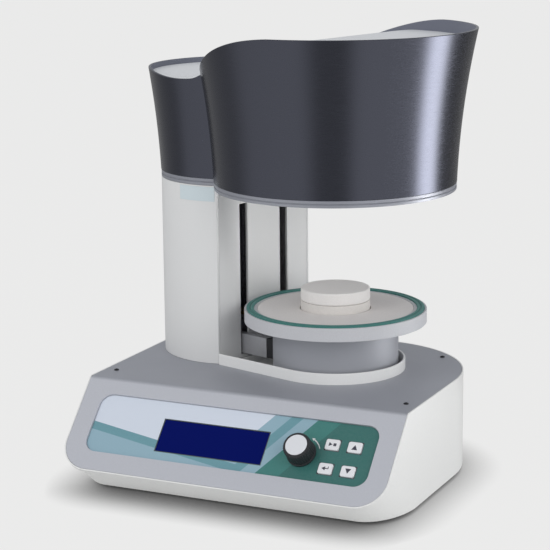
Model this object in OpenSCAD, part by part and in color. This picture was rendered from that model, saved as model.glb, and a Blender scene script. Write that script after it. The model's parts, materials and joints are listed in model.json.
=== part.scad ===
// Dental porcelain furnace: a low desk-shaped base, a column with a motor lift, a firing table and a
// flared head.
// Heights are measured from the underside of the housing, and the feet stand below it.

/* [Base] */
// Width of the base
base_w = 400; // [380:1:430]
// Height of the flat deck above the housing's underside
base_h = 114.5; // [108:0.5:122]
// Tilt of the sloping front from level
slope_angle = 46.5; // [42:0.5:52]
// Length of the sloping front, from the bend down to the lip
slope_len = 119.5; // [112:0.5:126]
// Distance from the bend to the rear wall
base_back = 290; // [284:1:310]
// How far the underside's front edge stands back from the lip
lip_setback = 36; // [26:1:44]
// Corner radius at the lip, in the plane of the slope
lip_corner_r = 36; // [24:1:46]
// Front corner radius of the underside
under_corner_r = 45; // [30:1:60]
// Rear right corner radius
rear_right_r = 140; // [120:1:150]
// Rear left corner radius, which follows the column
rear_left_r = 98; // [92:1:104]
// Wall of the housing
wall = 3; // [2.4:0.1:4]
// Width of the housing's rim that shows round the cover
rim_w = 1.5; // [1:0.1:2]
// Thickness of the housing's floor flange
floor_t = 2.5; // [2:0.1:4]
// Width of the floor flange
flange_w = 22; // [18:1:30]
// Thickness of the base plate
plate_t = 2; // [1.5:0.1:3]

/* [Cover] */
// Thickness of the top cover
cover_t = 3; // [2:0.1:4]
// Outer radius of the cover's bend
bend_r = 10; // [6:1:16]
// Radius of the cover's screw heads
cover_screw_head_r = 2.9; // [2.4:0.1:3.6]
// Height of the cover's screw heads
cover_screw_head_h = 1.6; // [1:0.1:2.4]
// Radius of the cover's screw shanks
cover_screw_r = 1.5; // [1.2:0.1:2]
// Length of a cover screw's shank
cover_screw_len = 12; // [9:1:18]
// Radius of the bosses that the cover is screwed to
boss_r = 5.5; // [4.5:0.5:8]

/* [Feet] */
// Height of the feet below the housing
foot_h = 6; // [4:0.5:12]
// Radius of a foot at the floor
foot_r = 11; // [9:0.5:14]
// Radius of the screws that hold the feet
foot_screw_r = 2; // [1.5:0.1:3]
// Distance of the front feet behind the underside's front edge
front_foot_back = 38; // [30:1:42]

/* [Panel] */
// Width of the overlay
overlay_w = 349; // [330:1:352]
// Height of the overlay along the slope
overlay_h = 74.5; // [70:0.5:78]
// Distance from the bend to the overlay's centre, down the slope
overlay_at = 57.5; // [54:0.5:60]
// Corner radius of the overlay
overlay_r = 15.5; // [8:0.5:20]
// Thickness of the overlay film
overlay_t = 0.6; // [0.4:0.1:1]
// Thickness of the plate behind the overlay
panel_plate_t = 2; // [1.5:0.1:3]
// How far the panel plate reaches past the opening on each side
panel_lap = 8; // [5:0.5:10]
// Width of the display window
display_w = 131; // [120:1:140]
// Height of the display window
display_h = 39.5; // [34:0.5:44]
// Middle of the display window, to the left of the base's middle
display_x = -20; // [-22:0.5:-10]
// Distance of the controls' row from the bend, down the slope
controls_at = 62.7; // [61:0.1:66]
// Thickness of the display module
display_t = 9; // [6:0.5:11]
// Radius of the knob
knob_r = 16.8; // [12:0.1:18]
// Height of the knob
knob_h = 19.5; // [14:0.5:24]
// Radius of the knob's cap
knob_cap_r = 12.4; // [8:0.1:14]
// Thickness of the knob's cap
knob_cap_t = 1.6; // [1:0.1:3]
// Knob's place across the panel
knob_x = 90.5; // [84:0.5:92]
// Number of flutes round the knob
knob_flutes = 30; // [18:2:40]
// Radius of the encoder's shaft
encoder_r = 3; // [2.5:0.1:4]
// Width of a key
key_w = 16.5; // [14:0.5:18]
// Height of a key along the slope
key_h = 13; // [11:0.5:15]
// Distance between the two columns of keys
key_pitch_x = 26.5; // [24:0.5:30]
// Distance between the two rows of keys
key_pitch_y = 29.3; // [26:0.1:32]
// Middle of the block of keys across the panel
keys_x = 136.5; // [132:0.5:140]
// How far a key stands out of the overlay
key_proud = 1.8; // [1.5:0.1:2.4]
// Travel of a key
key_travel = 1.2; // [0.8:0.1:1.4]

/* [Lift] */
// Lift axis, to the right of the base's middle
lift_x = 48.5; // [40:0.5:52]
// Lift axis, behind the bend
lift_y = 149.5; // [145:0.5:153]
// Turn of the column round the lift axis, clockwise from straight left
tower_turn = 17; // [14:0.5:20]
// Height of the table plate's top face
table_top = 187; // [183:0.5:194]
// Radius of the table plate
table_r = 107.5; // [102:0.5:111]
// Thickness of the table plate
table_t = 15.8; // [14:0.1:18]
// Radius of the ceramic disc
disc_r = 92; // [84:0.5:93]
// Thickness of the ceramic disc
disc_t = 10; // [8:0.5:11]
// Inner radius of the seal
seal_in_r = 96.2; // [94.5:0.1:99]
// Outer radius of the seal
seal_out_r = 104.8; // [103:0.1:105.5]
// Depth of the seal's groove
seal_groove = 3; // [2:0.1:4]
// How far the seal stands above the table plate
seal_proud = 1.8; // [1:0.1:2.5]
// Radius of the pedestal and of the firing tray
pedestal_r = 40.8; // [36:0.1:42]
// Height of the pedestal above the table plate
pedestal_up = 10; // [6:0.5:14]
// Thickness of the firing tray
tray_t = 14.7; // [10:0.1:18]
// Radius of the lift drum
drum_r = 74.3; // [68:0.1:75]
// Wall of the lift drum
drum_wall = 3; // [2:0.5:5]
// Outer radius of the lift well
well_r = 82.5; // [80:0.1:84]
// Wall of the lift well
well_wall = 2.5; // [2:0.1:3.5]
// Height of the well's rim above the deck
well_up = 13; // [10:0.5:15]
// Depth of the well's floor below the deck
well_down = 12; // [9:0.5:15]

/* [Column] */
// Distance from the lift axis to the column's centre
column_at = 156; // [152:0.5:160]
// Radius of the column
column_r = 92; // [90:0.5:93]
// Distance from the lift axis to the column's flat face
face_at = 113.5; // [112:0.5:116]
// Wall of the column's shell
column_wall = 3; // [2:0.1:4]
// Thickness of the flat face
face_t = 3; // [2:0.1:4]
// Distance of each slot from the middle of the face
slot_at = 35.5; // [33:0.5:38]
// Width of a slot
slot_w = 14; // [10.5:0.1:15]
// Height of the slots' upper end
slot_top = 303.5; // [303:0.5:308]
// Thickness of a lift arm
arm_w = 9.6; // [8:0.1:10]
// Height of a lift arm
arm_h = 24; // [18:1:26]
// Length of the spacer between an arm and the drum, at its middle
spacer_len = 9; // [6:0.5:11]
// Radius of a guide rod
rod_r = 6; // [5:0.5:8]
// Distance from the column's flat face back to the rods and the screw
rods_back = 28; // [28:0.5:31]
// Radius of the lead screw
screw_r = 5; // [4:0.5:6]
// Height of the carriage
carriage_h = 38; // [30:1:38]
// Height of the lowest edge of an arm above the deck
arm_up = 6; // [5.5:0.5:8]

/* [Head] */
// Height of the head's underside
head_z = 330.5; // [328:0.5:336]
// Radius of the head's drum at its bottom
head_r = 141; // [139:0.5:143]
// Height of the trim band
trim_h = 8; // [6:0.5:12]
// Wall of the trim band
trim_wall = 4; // [3:0.5:6]
// Depth of the groove round the trim band
trim_groove = 1; // [0.5:0.1:1.5]
// Height of the groove round the trim band
trim_groove_h = 1.2; // [0.8:0.1:2]
// Wall of the head cover
head_wall = 3; // [2:0.1:4]
// Height of the rim round the head's drum
rim_high = 515.5; // [505:0.5:525]
// Height of the rim where it dips beside the column
rim_dip = 455; // [448:0.5:462]
// Rise of the rim at the back of the column part
rim_back_rise = 8; // [0:0.5:12]
// Height of the white lid under the high rim
lid_drop_high = 14.5; // [8:0.5:20]
// Height of the white lid under the low rim
lid_drop_low = 6; // [4:0.5:10]
// Thickness of the white lid
lid_t = 3; // [2:0.1:4]
// Thickness of the head plate
head_plate_t = 5; // [4:0.5:8]

/* [Muffle] */
// Inner radius of the muffle flange
mouth_r = 46; // [44:0.5:47]
// Thickness of the muffle flange
muffle_flange_t = 2; // [1.5:0.1:2.5]
// Outer radius of the muffle flange
muffle_flange_r = 106; // [105:0.5:108]
// Inner radius of the quartz tube
quartz_in_r = 48; // [46:0.5:49]
// Outer radius of the quartz tube
quartz_out_r = 50.5; // [50:0.5:51]
// Height of the heated chamber
chamber_h = 76; // [66:1:84]
// Radius of the heater wire
wire_r = 1; // [0.6:0.1:1.2]
// Number of the heater coil's turns
coil_turns = 8; // [5:1:12]
// Inner radius of the insulation
insulation_in_r = 57; // [56:0.5:60]
// Outer radius of the insulation
insulation_out_r = 97; // [92:0.5:97.5]
// Thickness of the insulation above the chamber
top_insulation_t = 26; // [18:1:32]
// Wall of the muffle can
can_wall = 2; // [1.5:0.1:2.5]
// Radius of the thermocouple's sheath
thermo_r = 2; // [1.5:0.1:3]

/* [Rear] */
// Distance of the mains inlet from the base's middle
inlet_x = -62; // [-70:1:-58]
// Height of the mains inlet's centre
inlet_z = 32; // [28:1:36]
// Width of the mains inlet's flange
inlet_w = 50; // [46:1:52]
// Height of the mains inlet's flange
inlet_h = 24; // [22:0.5:26]
// Height of the rocker switch's centre
switch_z = 62; // [58:1:64]
// Width of the rocker switch's frame
switch_w = 21; // [18:0.5:24]
// Height of the rocker switch's frame
switch_h = 15; // [13:0.5:16]
// Radius of the fuse holder's cap
fuse_r = 6.5; // [5:0.5:8]
// Distance of the fuse holder and the hose spigot from the inlet's middle
fuse_off = 22; // [19:0.5:25]
// Height of the hose spigot
spigot_z = 90; // [84:0.5:94]
// Radius of the hose spigot
spigot_r = 4; // [3:0.5:5]
// Length of the hose spigot's plain end
spigot_len = 14; // [10:1:20]
// Fan's place across the rear wall
fan_x = 38; // [37:0.5:39]
// Height of the fan's axis
fan_z = 60; // [48:1:66]
// Side of the fan's square frame
fan_w = 40; // [36:1:42]
// Depth of the fan
fan_d = 20; // [15:1:25]

/* [Name plate] */
// Height of the bare name plate
name_h = 17; // [12:0.5:20]
// Half of the angle that the name plate spans on the column
name_half_angle = 15; // [10:0.5:18]
// Thickness of the name plate
name_t = 0.6; // [0.4:0.1:1]

/* [Fits] */
// Clearance between fixed pieces that stand side by side
gap = 0.3; // [0.2:0.05:0.4]
// Clearance under fixed pieces that rest on a ledge
seat_gap = 0.05; // [0.02:0.01:0.1]
// Radial clearance of shafts that turn or slide in bores
fit = 0.04; // [0.02:0.01:0.08]
// Clearance left under the seal when the table is up
seal_gap = 0.2; // [0.1:0.05:0.4]

/* [Hidden] */
$fn = 96;

deck_z = base_h;
lip_y = -slope_len * cos(slope_angle);
lip_z = base_h - slope_len * sin(slope_angle);
under_y = lip_y + lip_setback;
ledge_z = base_h - cover_t;
lip_inset = rim_w + gap;
arc_step = 5;
thin = 0.02;
reach = 30;

head_top_dz = rim_high - head_z;
drum_lean = 0.03;
drum_curve = 0.00052;
column_lean = 0.04;
column_curve = 0.00045;
function flare(r, lean, curve, dz) = r + lean * dz + curve * dz * dz;
rim_rise_from = -128;
rim_rise_to = 60;
rim_level_from = -150;
rim_back_from = -250;
high_r = flare(head_r, drum_lean, drum_curve, head_top_dz);
back_z = rim_dip + rim_back_rise;
low_r = flare(column_r, column_lean, column_curve, back_z - head_z);
spigot_out = spigot_len + 8;

edge_right = lift_x + high_r;
edge_left = lift_x - column_at * cos(tower_turn) - low_r;
edge_front = lip_y;
edge_rear = max(base_back + spigot_out, lift_y + high_r - 4);
origin_x = (edge_right + edge_left) / 2;
origin_y = (edge_front + edge_rear) / 2;

screw_at = face_at + rods_back;
stroke = head_z - table_top - seal_proud - seal_gap;
table_bottom = table_top - table_t;
well_floor_z = deck_z - well_down;
drum_bottom = well_floor_z + well_wall + 1;
arm_bottom = deck_z + arm_up;
arm_end = sqrt(drum_r * drum_r - slot_at * slot_at) + spacer_len;
rod_bottom = deck_z + 6;
frame_flange_t = 6;
frame_top = head_z + muffle_flange_t;
carriage_z = deck_z + frame_flange_t + 1;
carriage_front = screw_at - rod_r - 9;
carriage_behind = 14;
carriage_back = screw_at + carriage_behind;
carriage_side = 15;
arm_socket = 3;
bush_r = rod_r + 4.4;
bush_h = 14;
nut_r = screw_r + 3.5;
motor_top = 78;
motor_w = 57;
motor_h = 60;
motor_hole = 23.5;
board_z = -panel_plate_t - cover_t - display_t;
overlay_z = -cover_t + overlay_t;
face_half = sqrt(column_r * column_r - (column_at - face_at) * (column_at - face_at));
lead = 8;
echo(stroke_mm = stroke, origin_mm = [origin_x, origin_y], rear_mm = edge_rear - origin_y);

front_boss = [base_w / 2 - 16.5, 33];
rear_boss = [10, base_back - 11];
side_boss = [base_w / 2 - rear_right_r + (rear_right_r - 13) * cos(45),
  base_back - rear_right_r + (rear_right_r - 13) * sin(45)];
BOSSES = [front_boss, [-front_boss[0], front_boss[1]], rear_boss, side_boss];
foot_in = 16;
rear_foot_turn = 30;
front_foot = [base_w / 2 - 45, under_y + front_foot_back];
FEET = [front_foot, [-front_foot[0], front_foot[1]],
  [base_w / 2 - rear_right_r + (rear_right_r - foot_in) * cos(rear_foot_turn),
    base_back - rear_right_r + (rear_right_r - foot_in) * sin(rear_foot_turn)],
  [-base_w / 2 + rear_left_r - (rear_left_r - foot_in) * cos(rear_foot_turn),
    base_back - rear_left_r + (rear_left_r - foot_in) * sin(rear_foot_turn)]];

function arc(cx, cy, r, from, to) =
  let (n = ceil(abs(to - from) / arc_step))
  [for (i = [0 : n]) [cx + r * cos(from + (to - from) * i / n), cy + r * sin(from + (to - from) * i / n)]];

function smooth(t) = let (c = min(max(t, 0), 1)) c * c * (3 - 2 * c);
function rise(u) =
  let (t = (u - rim_rise_from) / (rim_rise_to - rim_rise_from), c = min((t + sqrt(t * t + 0.0016)) / 2, 1))
  1 - pow(1 - c, 2.25);
function low_rim(u) = back_z - rim_back_rise * smooth((u - rim_back_from) / (rim_level_from - rim_back_from));
function rim_z(u) = low_rim(u) + (rim_high - low_rim(u)) * rise(u);
lid_level_from = -10;
lid_step_from = -136;
lid_step_to = -112;
lid_fall = 15;
function lid_drum_z(u) =
  rim_high - lid_drop_high - lid_fall * pow(max(lid_level_from - u, 0) / (lid_level_from - lid_step_to), 1.3);
function lid_z(u) =
  let (s = smooth((u - lid_step_from) / (lid_step_to - lid_step_from)))
  (low_rim(u) - lid_drop_low) * (1 - s) + lid_drum_z(u) * s;
wave_step = 10;
WAVE = concat([-300], [for (u = [rim_back_from : wave_step : rim_rise_to]) u],
  [rim_rise_to + wave_step, 200]);

module place() translate([-origin_x, -origin_y, foot_h]) children();
module tower() place() translate([lift_x, lift_y, 0]) rotate([0, 0, -tower_turn]) children();
module panel() place() translate([0, 0, base_h]) rotate([slope_angle, 0, 0]) children();
module rear_wall(x, z) place() translate([x, base_back, z]) rotate([90, 0, 0]) children();
module each_boss() for (p = BOSSES) translate([p[0], p[1], 0]) children();
module each_foot() for (p = FEET) translate([p[0], p[1], 0]) children();
module ring(r_out, r_in, h) difference() {
  cylinder(r = r_out, h = h);
  translate([0, 0, -1]) cylinder(r = r_in, h = h + 2);
}
module block(w, d, h) translate([-w / 2, -d / 2, 0]) cube([w, d, h]);

// A straight tube's outer shape between two points
module bar(a, b, r) {
  v = b - a;
  len = norm(v);
  translate(a) rotate([0, acos(v[2] / len), atan2(v[1], v[0])]) cylinder(r = r, h = len);
}

// Outline of the base seen from above, drawn in by an inset
module plan(inset, front_y, front_r) {
  w = base_w / 2;
  r = front_r;
  y = front_y + inset + r;
  polygon(concat(
    arc(inset + r - w, y, r, 180, 270), arc(w - inset - r, y, r, 270, 360),
    arc(w - rear_right_r, base_back - rear_right_r, rear_right_r - inset, 0, 90),
    arc(rear_left_r - w, base_back - rear_left_r, rear_left_r - inset, 90, 180)));
}

// Outline of the sloping front in its own plane, with the lip's round corners
module slope_outline(inset, top) {
  w = base_w / 2 - inset;
  r = lip_corner_r - inset;
  y = inset - slope_len + r;
  polygon(concat([[w, top], [-w, top]], arc(r - w, y, r, 180, 270), arc(w - r, y, r, 270, 360)));
}

// Side view of the housing's outside, and of its inside, which is open upwards
under_len = norm([lip_setback, lip_z]);
under_dir = [-lip_setback, lip_z] / under_len;
under_in = [lip_z, lip_setback] / under_len;
inner_along = (floor_t - under_in[1] * wall) / under_dir[1];
inner_under = [under_y, 0] + wall * under_in + inner_along * under_dir;
inner_lip = inner_under + 2 * under_len * under_dir;
OUTSIDE = [[under_y, 0], [base_back + 9, 0], [base_back + 9, base_h], [0, base_h], [lip_y, lip_z]];
INSIDE = [inner_under, [base_back + 9, inner_under[1]], [base_back + 9, base_h + reach],
  [inner_lip[0], base_h + reach], inner_lip];

module housing_body(outline, inset) intersection() {
  translate([-base_w / 2, 0, 0]) rotate([90, 0, 90]) linear_extrude(base_w) polygon(outline);
  translate([0, 0, -1]) linear_extrude(base_h + reach + 9) plan(inset, -2 * base_h, rim_w);
  translate([0, 0, base_h]) rotate([slope_angle, 0, 0]) translate([0, 0, -base_w])
    linear_extrude(base_w + 2 * reach) slope_outline(inset, base_w);
}

// Prism along the underside's slant, with the round corners of the underside
under_tilt = atan2(lip_setback, lip_z);
skin = 0.2;
module under_prism(inset) {
  w = base_w / 2 - inset + skin;
  r = under_corner_r - inset + skin;
  y = inset - skin + r;
  translate([0, under_y, 0]) rotate([under_tilt, 0, 0]) translate([0, 0, -base_w])
    linear_extrude(2 * base_w) polygon(concat([[w, 2 * base_w], [-w, 2 * base_w]],
      arc(r - w, y, r, 180, 270), arc(w - r, y, r, 270, 360)));
}

// What the round corners take away, which starts below the lip
lip_band = 5;
module corner_cut() difference() {
  translate([0, 0, base_h]) rotate([slope_angle, 0, 0])
    translate([-base_w, -2 * slope_len, -2 * base_w - lip_band])
    cube([2 * base_w, 2 * slope_len, 2 * base_w]);
  under_prism(0);
}

// Side view of the room above the ledge that the cover lies on
function cover_room(drop) = let(t = cover_t + drop, y = t * tan(slope_angle / 2), far = 2 * slope_len)
  concat([[base_back + 9, base_h - t], [base_back + 9, base_h + reach],
    [y - far * cos(slope_angle), base_h + reach],
    [y - far * cos(slope_angle), base_h - t - far * sin(slope_angle)]],
    arc(bend_at[0], bend_at[1], bend_r - t, 90 + slope_angle, 90));

module base_housing() color([0.93, 0.93, 0.91]) place() difference() {
  union() {
    difference() {
      housing_body(OUTSIDE, 0);
      corner_cut();
      intersection() {
        housing_body(INSIDE, wall);
        under_prism(wall);
      }
      housing_body(cover_room(seat_gap), rim_w);
    }
    each_boss() translate([0, 0, 1]) cylinder(r = boss_r, h = ledge_z - seat_gap - 1);
  }
  translate([0, 0, -1]) linear_extrude(floor_t + 2)
    plan(flange_w, under_y + front_foot_back - foot_in, under_corner_r);
  each_boss() translate([0, 0, ledge_z - cover_screw_len]) cylinder(r = cover_screw_r + fit, h = reach);
  each_foot() translate([0, 0, -1]) cylinder(r = foot_screw_r + gap, h = floor_t + 2);
  translate([inlet_x, base_back, inlet_z]) cube([28, 4 * wall, 20.6], center = true);
  translate([inlet_x, base_back, switch_z]) cube([switch_w - 1.4, 4 * wall, switch_h - 1.4], center = true);
  translate([inlet_x + fuse_off, base_back + wall, switch_z]) rotate([90, 0, 0])
    cylinder(r = fuse_r - 1, h = 4 * wall);
  translate([inlet_x - fuse_off, base_back + wall, spigot_z]) rotate([90, 0, 0])
    cylinder(r = spigot_r + 2 + gap, h = 4 * wall);
  translate([fan_x, base_back + wall, fan_z]) rotate([90, 0, 0]) linear_extrude(4 * wall) intersection() {
    circle(r = fan_hole_r);
    for (i = [-vent_count : vent_count]) translate([i * vent_pitch - vent_w / 2, -fan_w / 2])
      square([vent_w, fan_w]);
  }
}

vent_count = 3;
vent_pitch = 5;
vent_w = 3;
module base_plate() color([0.55, 0.56, 0.58]) place() difference() {
  translate([0, 0, floor_t]) linear_extrude(plate_t) plan(wall + 2, under_y + 4, under_corner_r);
  each_boss() translate([0, 0, -1]) cylinder(r = boss_r + gap, h = reach);
  each_foot() cylinder(r = foot_screw_r + fit, h = reach);
  for (i = [0 : 7]) translate([-70 + 20 * i, 40, 0]) block(8, 50, reach);
}

module feet() color([0.12, 0.12, 0.12]) place() each_foot() difference() {
  translate([0, 0, -foot_h]) union() {
    cylinder(r1 = foot_r, r2 = foot_r + 1, h = foot_h / 2);
    translate([0, 0, foot_h / 2]) cylinder(r = foot_r + 1, h = foot_h / 2);
  }
  translate([0, 0, -foot_h - 1]) cylinder(r = foot_screw_r * 2 + gap, h = foot_h / 2 + 1);
  translate([0, 0, -foot_h]) cylinder(r = foot_screw_r + fit, h = foot_h + 1);
}

module foot_screws() color([0.7, 0.7, 0.72]) place() each_foot() {
  translate([0, 0, -foot_h / 2 - 1.8]) cylinder(r = foot_screw_r * 2, h = 1.8);
  translate([0, 0, -foot_h / 2]) cylinder(r = foot_screw_r, h = foot_h / 2 + floor_t + plate_t + 2);
}

// Steel bridge under the deck that carries the column and the motor
base_frame_top = ledge_z - seat_gap;
base_frame_t = 4;
base_frame_w = 90;
base_frame_d = 66;
module base_frame() color([0.6, 0.61, 0.63]) tower() translate([-face_at - 4, 0, 0]) difference() {
  union() {
    translate([-base_frame_d, -base_frame_w / 2, base_frame_top - base_frame_t])
      cube([base_frame_d, base_frame_w, base_frame_t]);
    for (s = [-1, 1]) translate([-base_frame_d, s * (base_frame_w / 2 - base_frame_t / 2) - base_frame_t / 2,
      floor_t + plate_t]) cube([base_frame_d, base_frame_t, base_frame_top - floor_t - plate_t]);
  }
  translate([-rods_back + 4, 0, 0]) cylinder(r = 12, h = 200);
  for (sx = [-1, 1], sy = [-1, 1]) translate([-rods_back + 4 + sx * motor_hole, sy * motor_hole, 0])
    cylinder(r = 2.2, h = 200);
}

// Cover: one sheet bent from the flat deck into the slope, with its side view first
bend_at = [bend_r * tan(slope_angle / 2), base_h - bend_r];
slope_dir = [-cos(slope_angle), -sin(slope_angle)];
slope_in = cover_t * [sin(slope_angle), -cos(slope_angle)];
cover_end = [0, base_h] + 2 * slope_len * slope_dir;
COVER = concat([[base_back + 9, base_h]], arc(bend_at[0], bend_at[1], bend_r, 90, 90 + slope_angle),
  [cover_end, cover_end + slope_in], arc(bend_at[0], bend_at[1], bend_r - cover_t, 90 + slope_angle, 90),
  [[base_back + 9, ledge_z]]);

module well_outline(r, from) {
  circle(r = r);
  translate([-from, -r]) square([from, 2 * r]);
}

module top_cover() color([0.72, 0.73, 0.76]) difference() {
  place() housing_body(COVER, lip_inset);
  panel() translate([0, -overlay_at, -cover_t - 1])
    linear_extrude(cover_t + 2) rounded(overlay_w, overlay_h, overlay_r);
  tower() translate([0, 0, ledge_z - 1])
    linear_extrude(cover_t + 2) well_outline(well_r + gap, face_at + gap);
  tower() translate([-screw_at, 0, ledge_z - 1]) cylinder(r = 12, h = cover_t + 2);
  tower() translate([-pipe_back, 0, ledge_z - 1]) cylinder(r = pipe_r + 2, h = cover_t + 2);
  place() each_boss() translate([0, 0, ledge_z - 1]) cylinder(r = cover_screw_r + fit, h = cover_t + 2);
}

module cover_screws() color([0.1, 0.1, 0.1]) place() each_boss() {
  translate([0, 0, deck_z]) cylinder(r = cover_screw_head_r, h = cover_screw_head_h);
  translate([0, 0, deck_z - cover_screw_len + 1]) cylinder(r = cover_screw_r, h = cover_screw_len - 1);
}

module rounded(w, h, r) {
  translate([-w / 2 + r, -h / 2]) square([w - 2 * r, h]);
  translate([-w / 2, -h / 2 + r]) square([w, h - 2 * r]);
  for (sx = [-1, 1], sy = [-1, 1]) translate([sx * (w / 2 - r), sy * (h / 2 - r)]) circle(r = r);
}

KEYS = [[-1, 1], [1, 1], [-1, -1], [1, -1]];
module key_place(k)
  translate([keys_x + k[0] * key_pitch_x / 2, -controls_at + k[1] * key_pitch_y / 2, 0]) children();
module panel_holes() {
  translate([display_x, -controls_at, -20]) block(display_w + 2 * gap, display_h + 2 * gap, 40);
  translate([knob_x, -controls_at, -20]) cylinder(r = encoder_r + 1.6, h = 40);
  for (k = KEYS) key_place(k) translate([0, 0, -20]) block(key_w + 2 * gap, key_h + 2 * gap, 40);
}

module panel_plate() color([0.4, 0.41, 0.43]) panel() difference() {
  translate([0, -overlay_at, -cover_t - panel_plate_t - seat_gap]) linear_extrude(panel_plate_t)
    rounded(overlay_w + 2 * panel_lap, overlay_h + 2 * panel_lap, overlay_r);
  panel_holes();
}

module panel_overlay() color([0.35, 0.62, 0.6]) panel() difference() {
  translate([0, -overlay_at, -cover_t - seat_gap]) linear_extrude(overlay_t)
    rounded(overlay_w - 2 * gap, overlay_h - 2 * gap, overlay_r - gap);
  panel_holes();
}

module display_glass() color([0.02, 0.05, 0.35]) panel()
  translate([display_x, -controls_at, -cover_t - panel_plate_t - seat_gap])
    block(display_w, display_h, panel_plate_t + overlay_t - 0.3);

module display_module() color([0.15, 0.16, 0.17]) panel()
  translate([display_x, -controls_at, -cover_t - panel_plate_t - display_t + seat_gap])
    block(display_w + 13, display_h + 15, display_t - 2 * seat_gap);

board_t = 1.6;
switch_side = 6.2;
switch_plunger_r = 1.75;
module control_board() color([0.1, 0.35, 0.2]) panel() {
  difference() {
    translate([display_x + 36, -controls_at, board_z - board_t])
      block(display_w + 150, display_h + 24, board_t);
    translate([knob_x, -controls_at, board_z - 5]) cylinder(r = 1.5, h = 10);
  }
  for (k = KEYS) key_place(k) {
    top = key_bottom - key_travel - 0.2;
    translate([0, 0, board_z - thin]) block(switch_side, switch_side, top - board_z - 1);
    translate([0, 0, board_z]) cylinder(r = switch_plunger_r, h = top - board_z);
  }
}

module encoder_body() color([0.2, 0.2, 0.22]) panel() translate([knob_x, -controls_at, 0]) difference() {
  union() {
    translate([0, 0, board_z]) block(13, 13, display_t - 1);
    translate([0, 0, board_z]) cylinder(r = encoder_r + 1.4, h = -board_z - cover_t + overlay_t);
  }
  translate([0, 0, board_z + 2]) cylinder(r = encoder_r + fit, h = 40);
}

knob_lift = 1;
module encoder_shaft() color([0.75, 0.76, 0.78]) panel()
  translate([knob_x, -controls_at, board_z + 2 + seat_gap])
  cylinder(r = encoder_r, h = -board_z - 2 + overlay_z + knob_lift + knob_h - 6);

module knob() color([0.06, 0.06, 0.07]) panel()
translate([knob_x, -controls_at, overlay_z + knob_lift]) difference() {
  rotate_extrude() polygon([[0, 0], [knob_r, 0], [knob_r, 2], [knob_r - 0.4, knob_h - 2.5],
    [knob_r - 1.2, knob_h - 0.6],
    [knob_r - 2, knob_h], [0, knob_h]]);
  for (i = [0 : knob_flutes - 1]) rotate([0, 0, i * 360 / knob_flutes])
    translate([knob_r + 0.6, 0, 3]) cylinder(r = 1.2, h = knob_h, $fn = 16);
  translate([0, 0, knob_h - knob_cap_t + 0.6]) cylinder(r = knob_cap_r + seat_gap, h = 5);
  translate([0, 0, -1]) cylinder(r = encoder_r + fit, h = knob_h - 4);
}

module knob_cap() color([0.85, 0.85, 0.87]) panel()
  translate([knob_x, -controls_at, overlay_z + knob_lift + knob_h - knob_cap_t + 0.6 + seat_gap]) union() {
    cylinder(r = knob_cap_r, h = knob_cap_t - 0.4);
    translate([0, 0, knob_cap_t - 0.4]) cylinder(r1 = knob_cap_r, r2 = knob_cap_r - 0.4, h = 0.4);
  }

key_flange = 1.5;
key_flange_t = 1.5;
key_bottom = -cover_t - panel_plate_t - key_flange_t - gap;
module key_cap(k) panel() key_place(k) {
  translate([0, 0, key_bottom]) block(key_w, key_h, overlay_z + key_proud - key_bottom);
  translate([0, 0, key_bottom]) block(key_w + 2 * key_flange, key_h + 2 * key_flange, key_flange_t);
}
module key_start() color([0.93, 0.93, 0.94]) key_cap(KEYS[0]);
module key_up() color([0.93, 0.93, 0.94]) key_cap(KEYS[1]);
module key_back() color([0.93, 0.93, 0.94]) key_cap(KEYS[2]);
module key_down() color([0.93, 0.93, 0.94]) key_cap(KEYS[3]);

// Lift well: a U-shaped tray let into the deck, open towards the column above the deck
module lift_well() color([0.93, 0.93, 0.91]) tower() difference() {
  translate([0, 0, well_floor_z]) linear_extrude(well_down + well_up) well_outline(well_r, face_at - gap);
  translate([0, 0, well_floor_z + well_wall]) linear_extrude(reach + well_up)
    well_outline(well_r - well_wall, face_at - gap - well_wall);
  translate([-face_at, -well_r + well_wall, deck_z]) cube([20, 2 * (well_r - well_wall), reach]);
}

module column_disc(r) translate([-column_at, 0]) circle(r = r, $fn = 128);
module column_shell() color([0.88, 0.88, 0.88]) tower() translate([0, 0, deck_z + seat_gap])
  linear_extrude(head_z - deck_z - gap) difference() {
    column_disc(column_r);
    column_disc(column_r - column_wall);
    translate([-face_at, -column_r]) square([column_r, 2 * column_r]);
  }

module column_face() color([0.88, 0.88, 0.88]) tower() difference() {
  translate([-face_at - face_t, 0, deck_z + seat_gap]) linear_extrude(head_z - deck_z - gap) intersection() {
    translate([0, -column_r]) square([face_t, 2 * column_r]);
    translate([face_at + face_t, 0]) column_disc(column_r - column_wall - gap);
  }
  for (s = [-1, 1]) translate([-face_at - face_t - 1, s * slot_at - slot_w / 2, arm_bottom - 2])
    cube([face_t + 2, slot_w, slot_top - arm_bottom + 2]);
}

name_z = head_z - 2 - name_h;
name_turn = -79;
module name_plate() color([0.8, 0.86, 0.88]) tower() translate([-column_at, 0, name_z]) intersection() {
  ring(column_r + thin + name_t, column_r + thin, name_h);
  linear_extrude(name_h) polygon(concat([[0, 0]],
    arc(0, 0, column_r * 1.2, name_turn - name_half_angle, name_turn + name_half_angle)));
}

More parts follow.
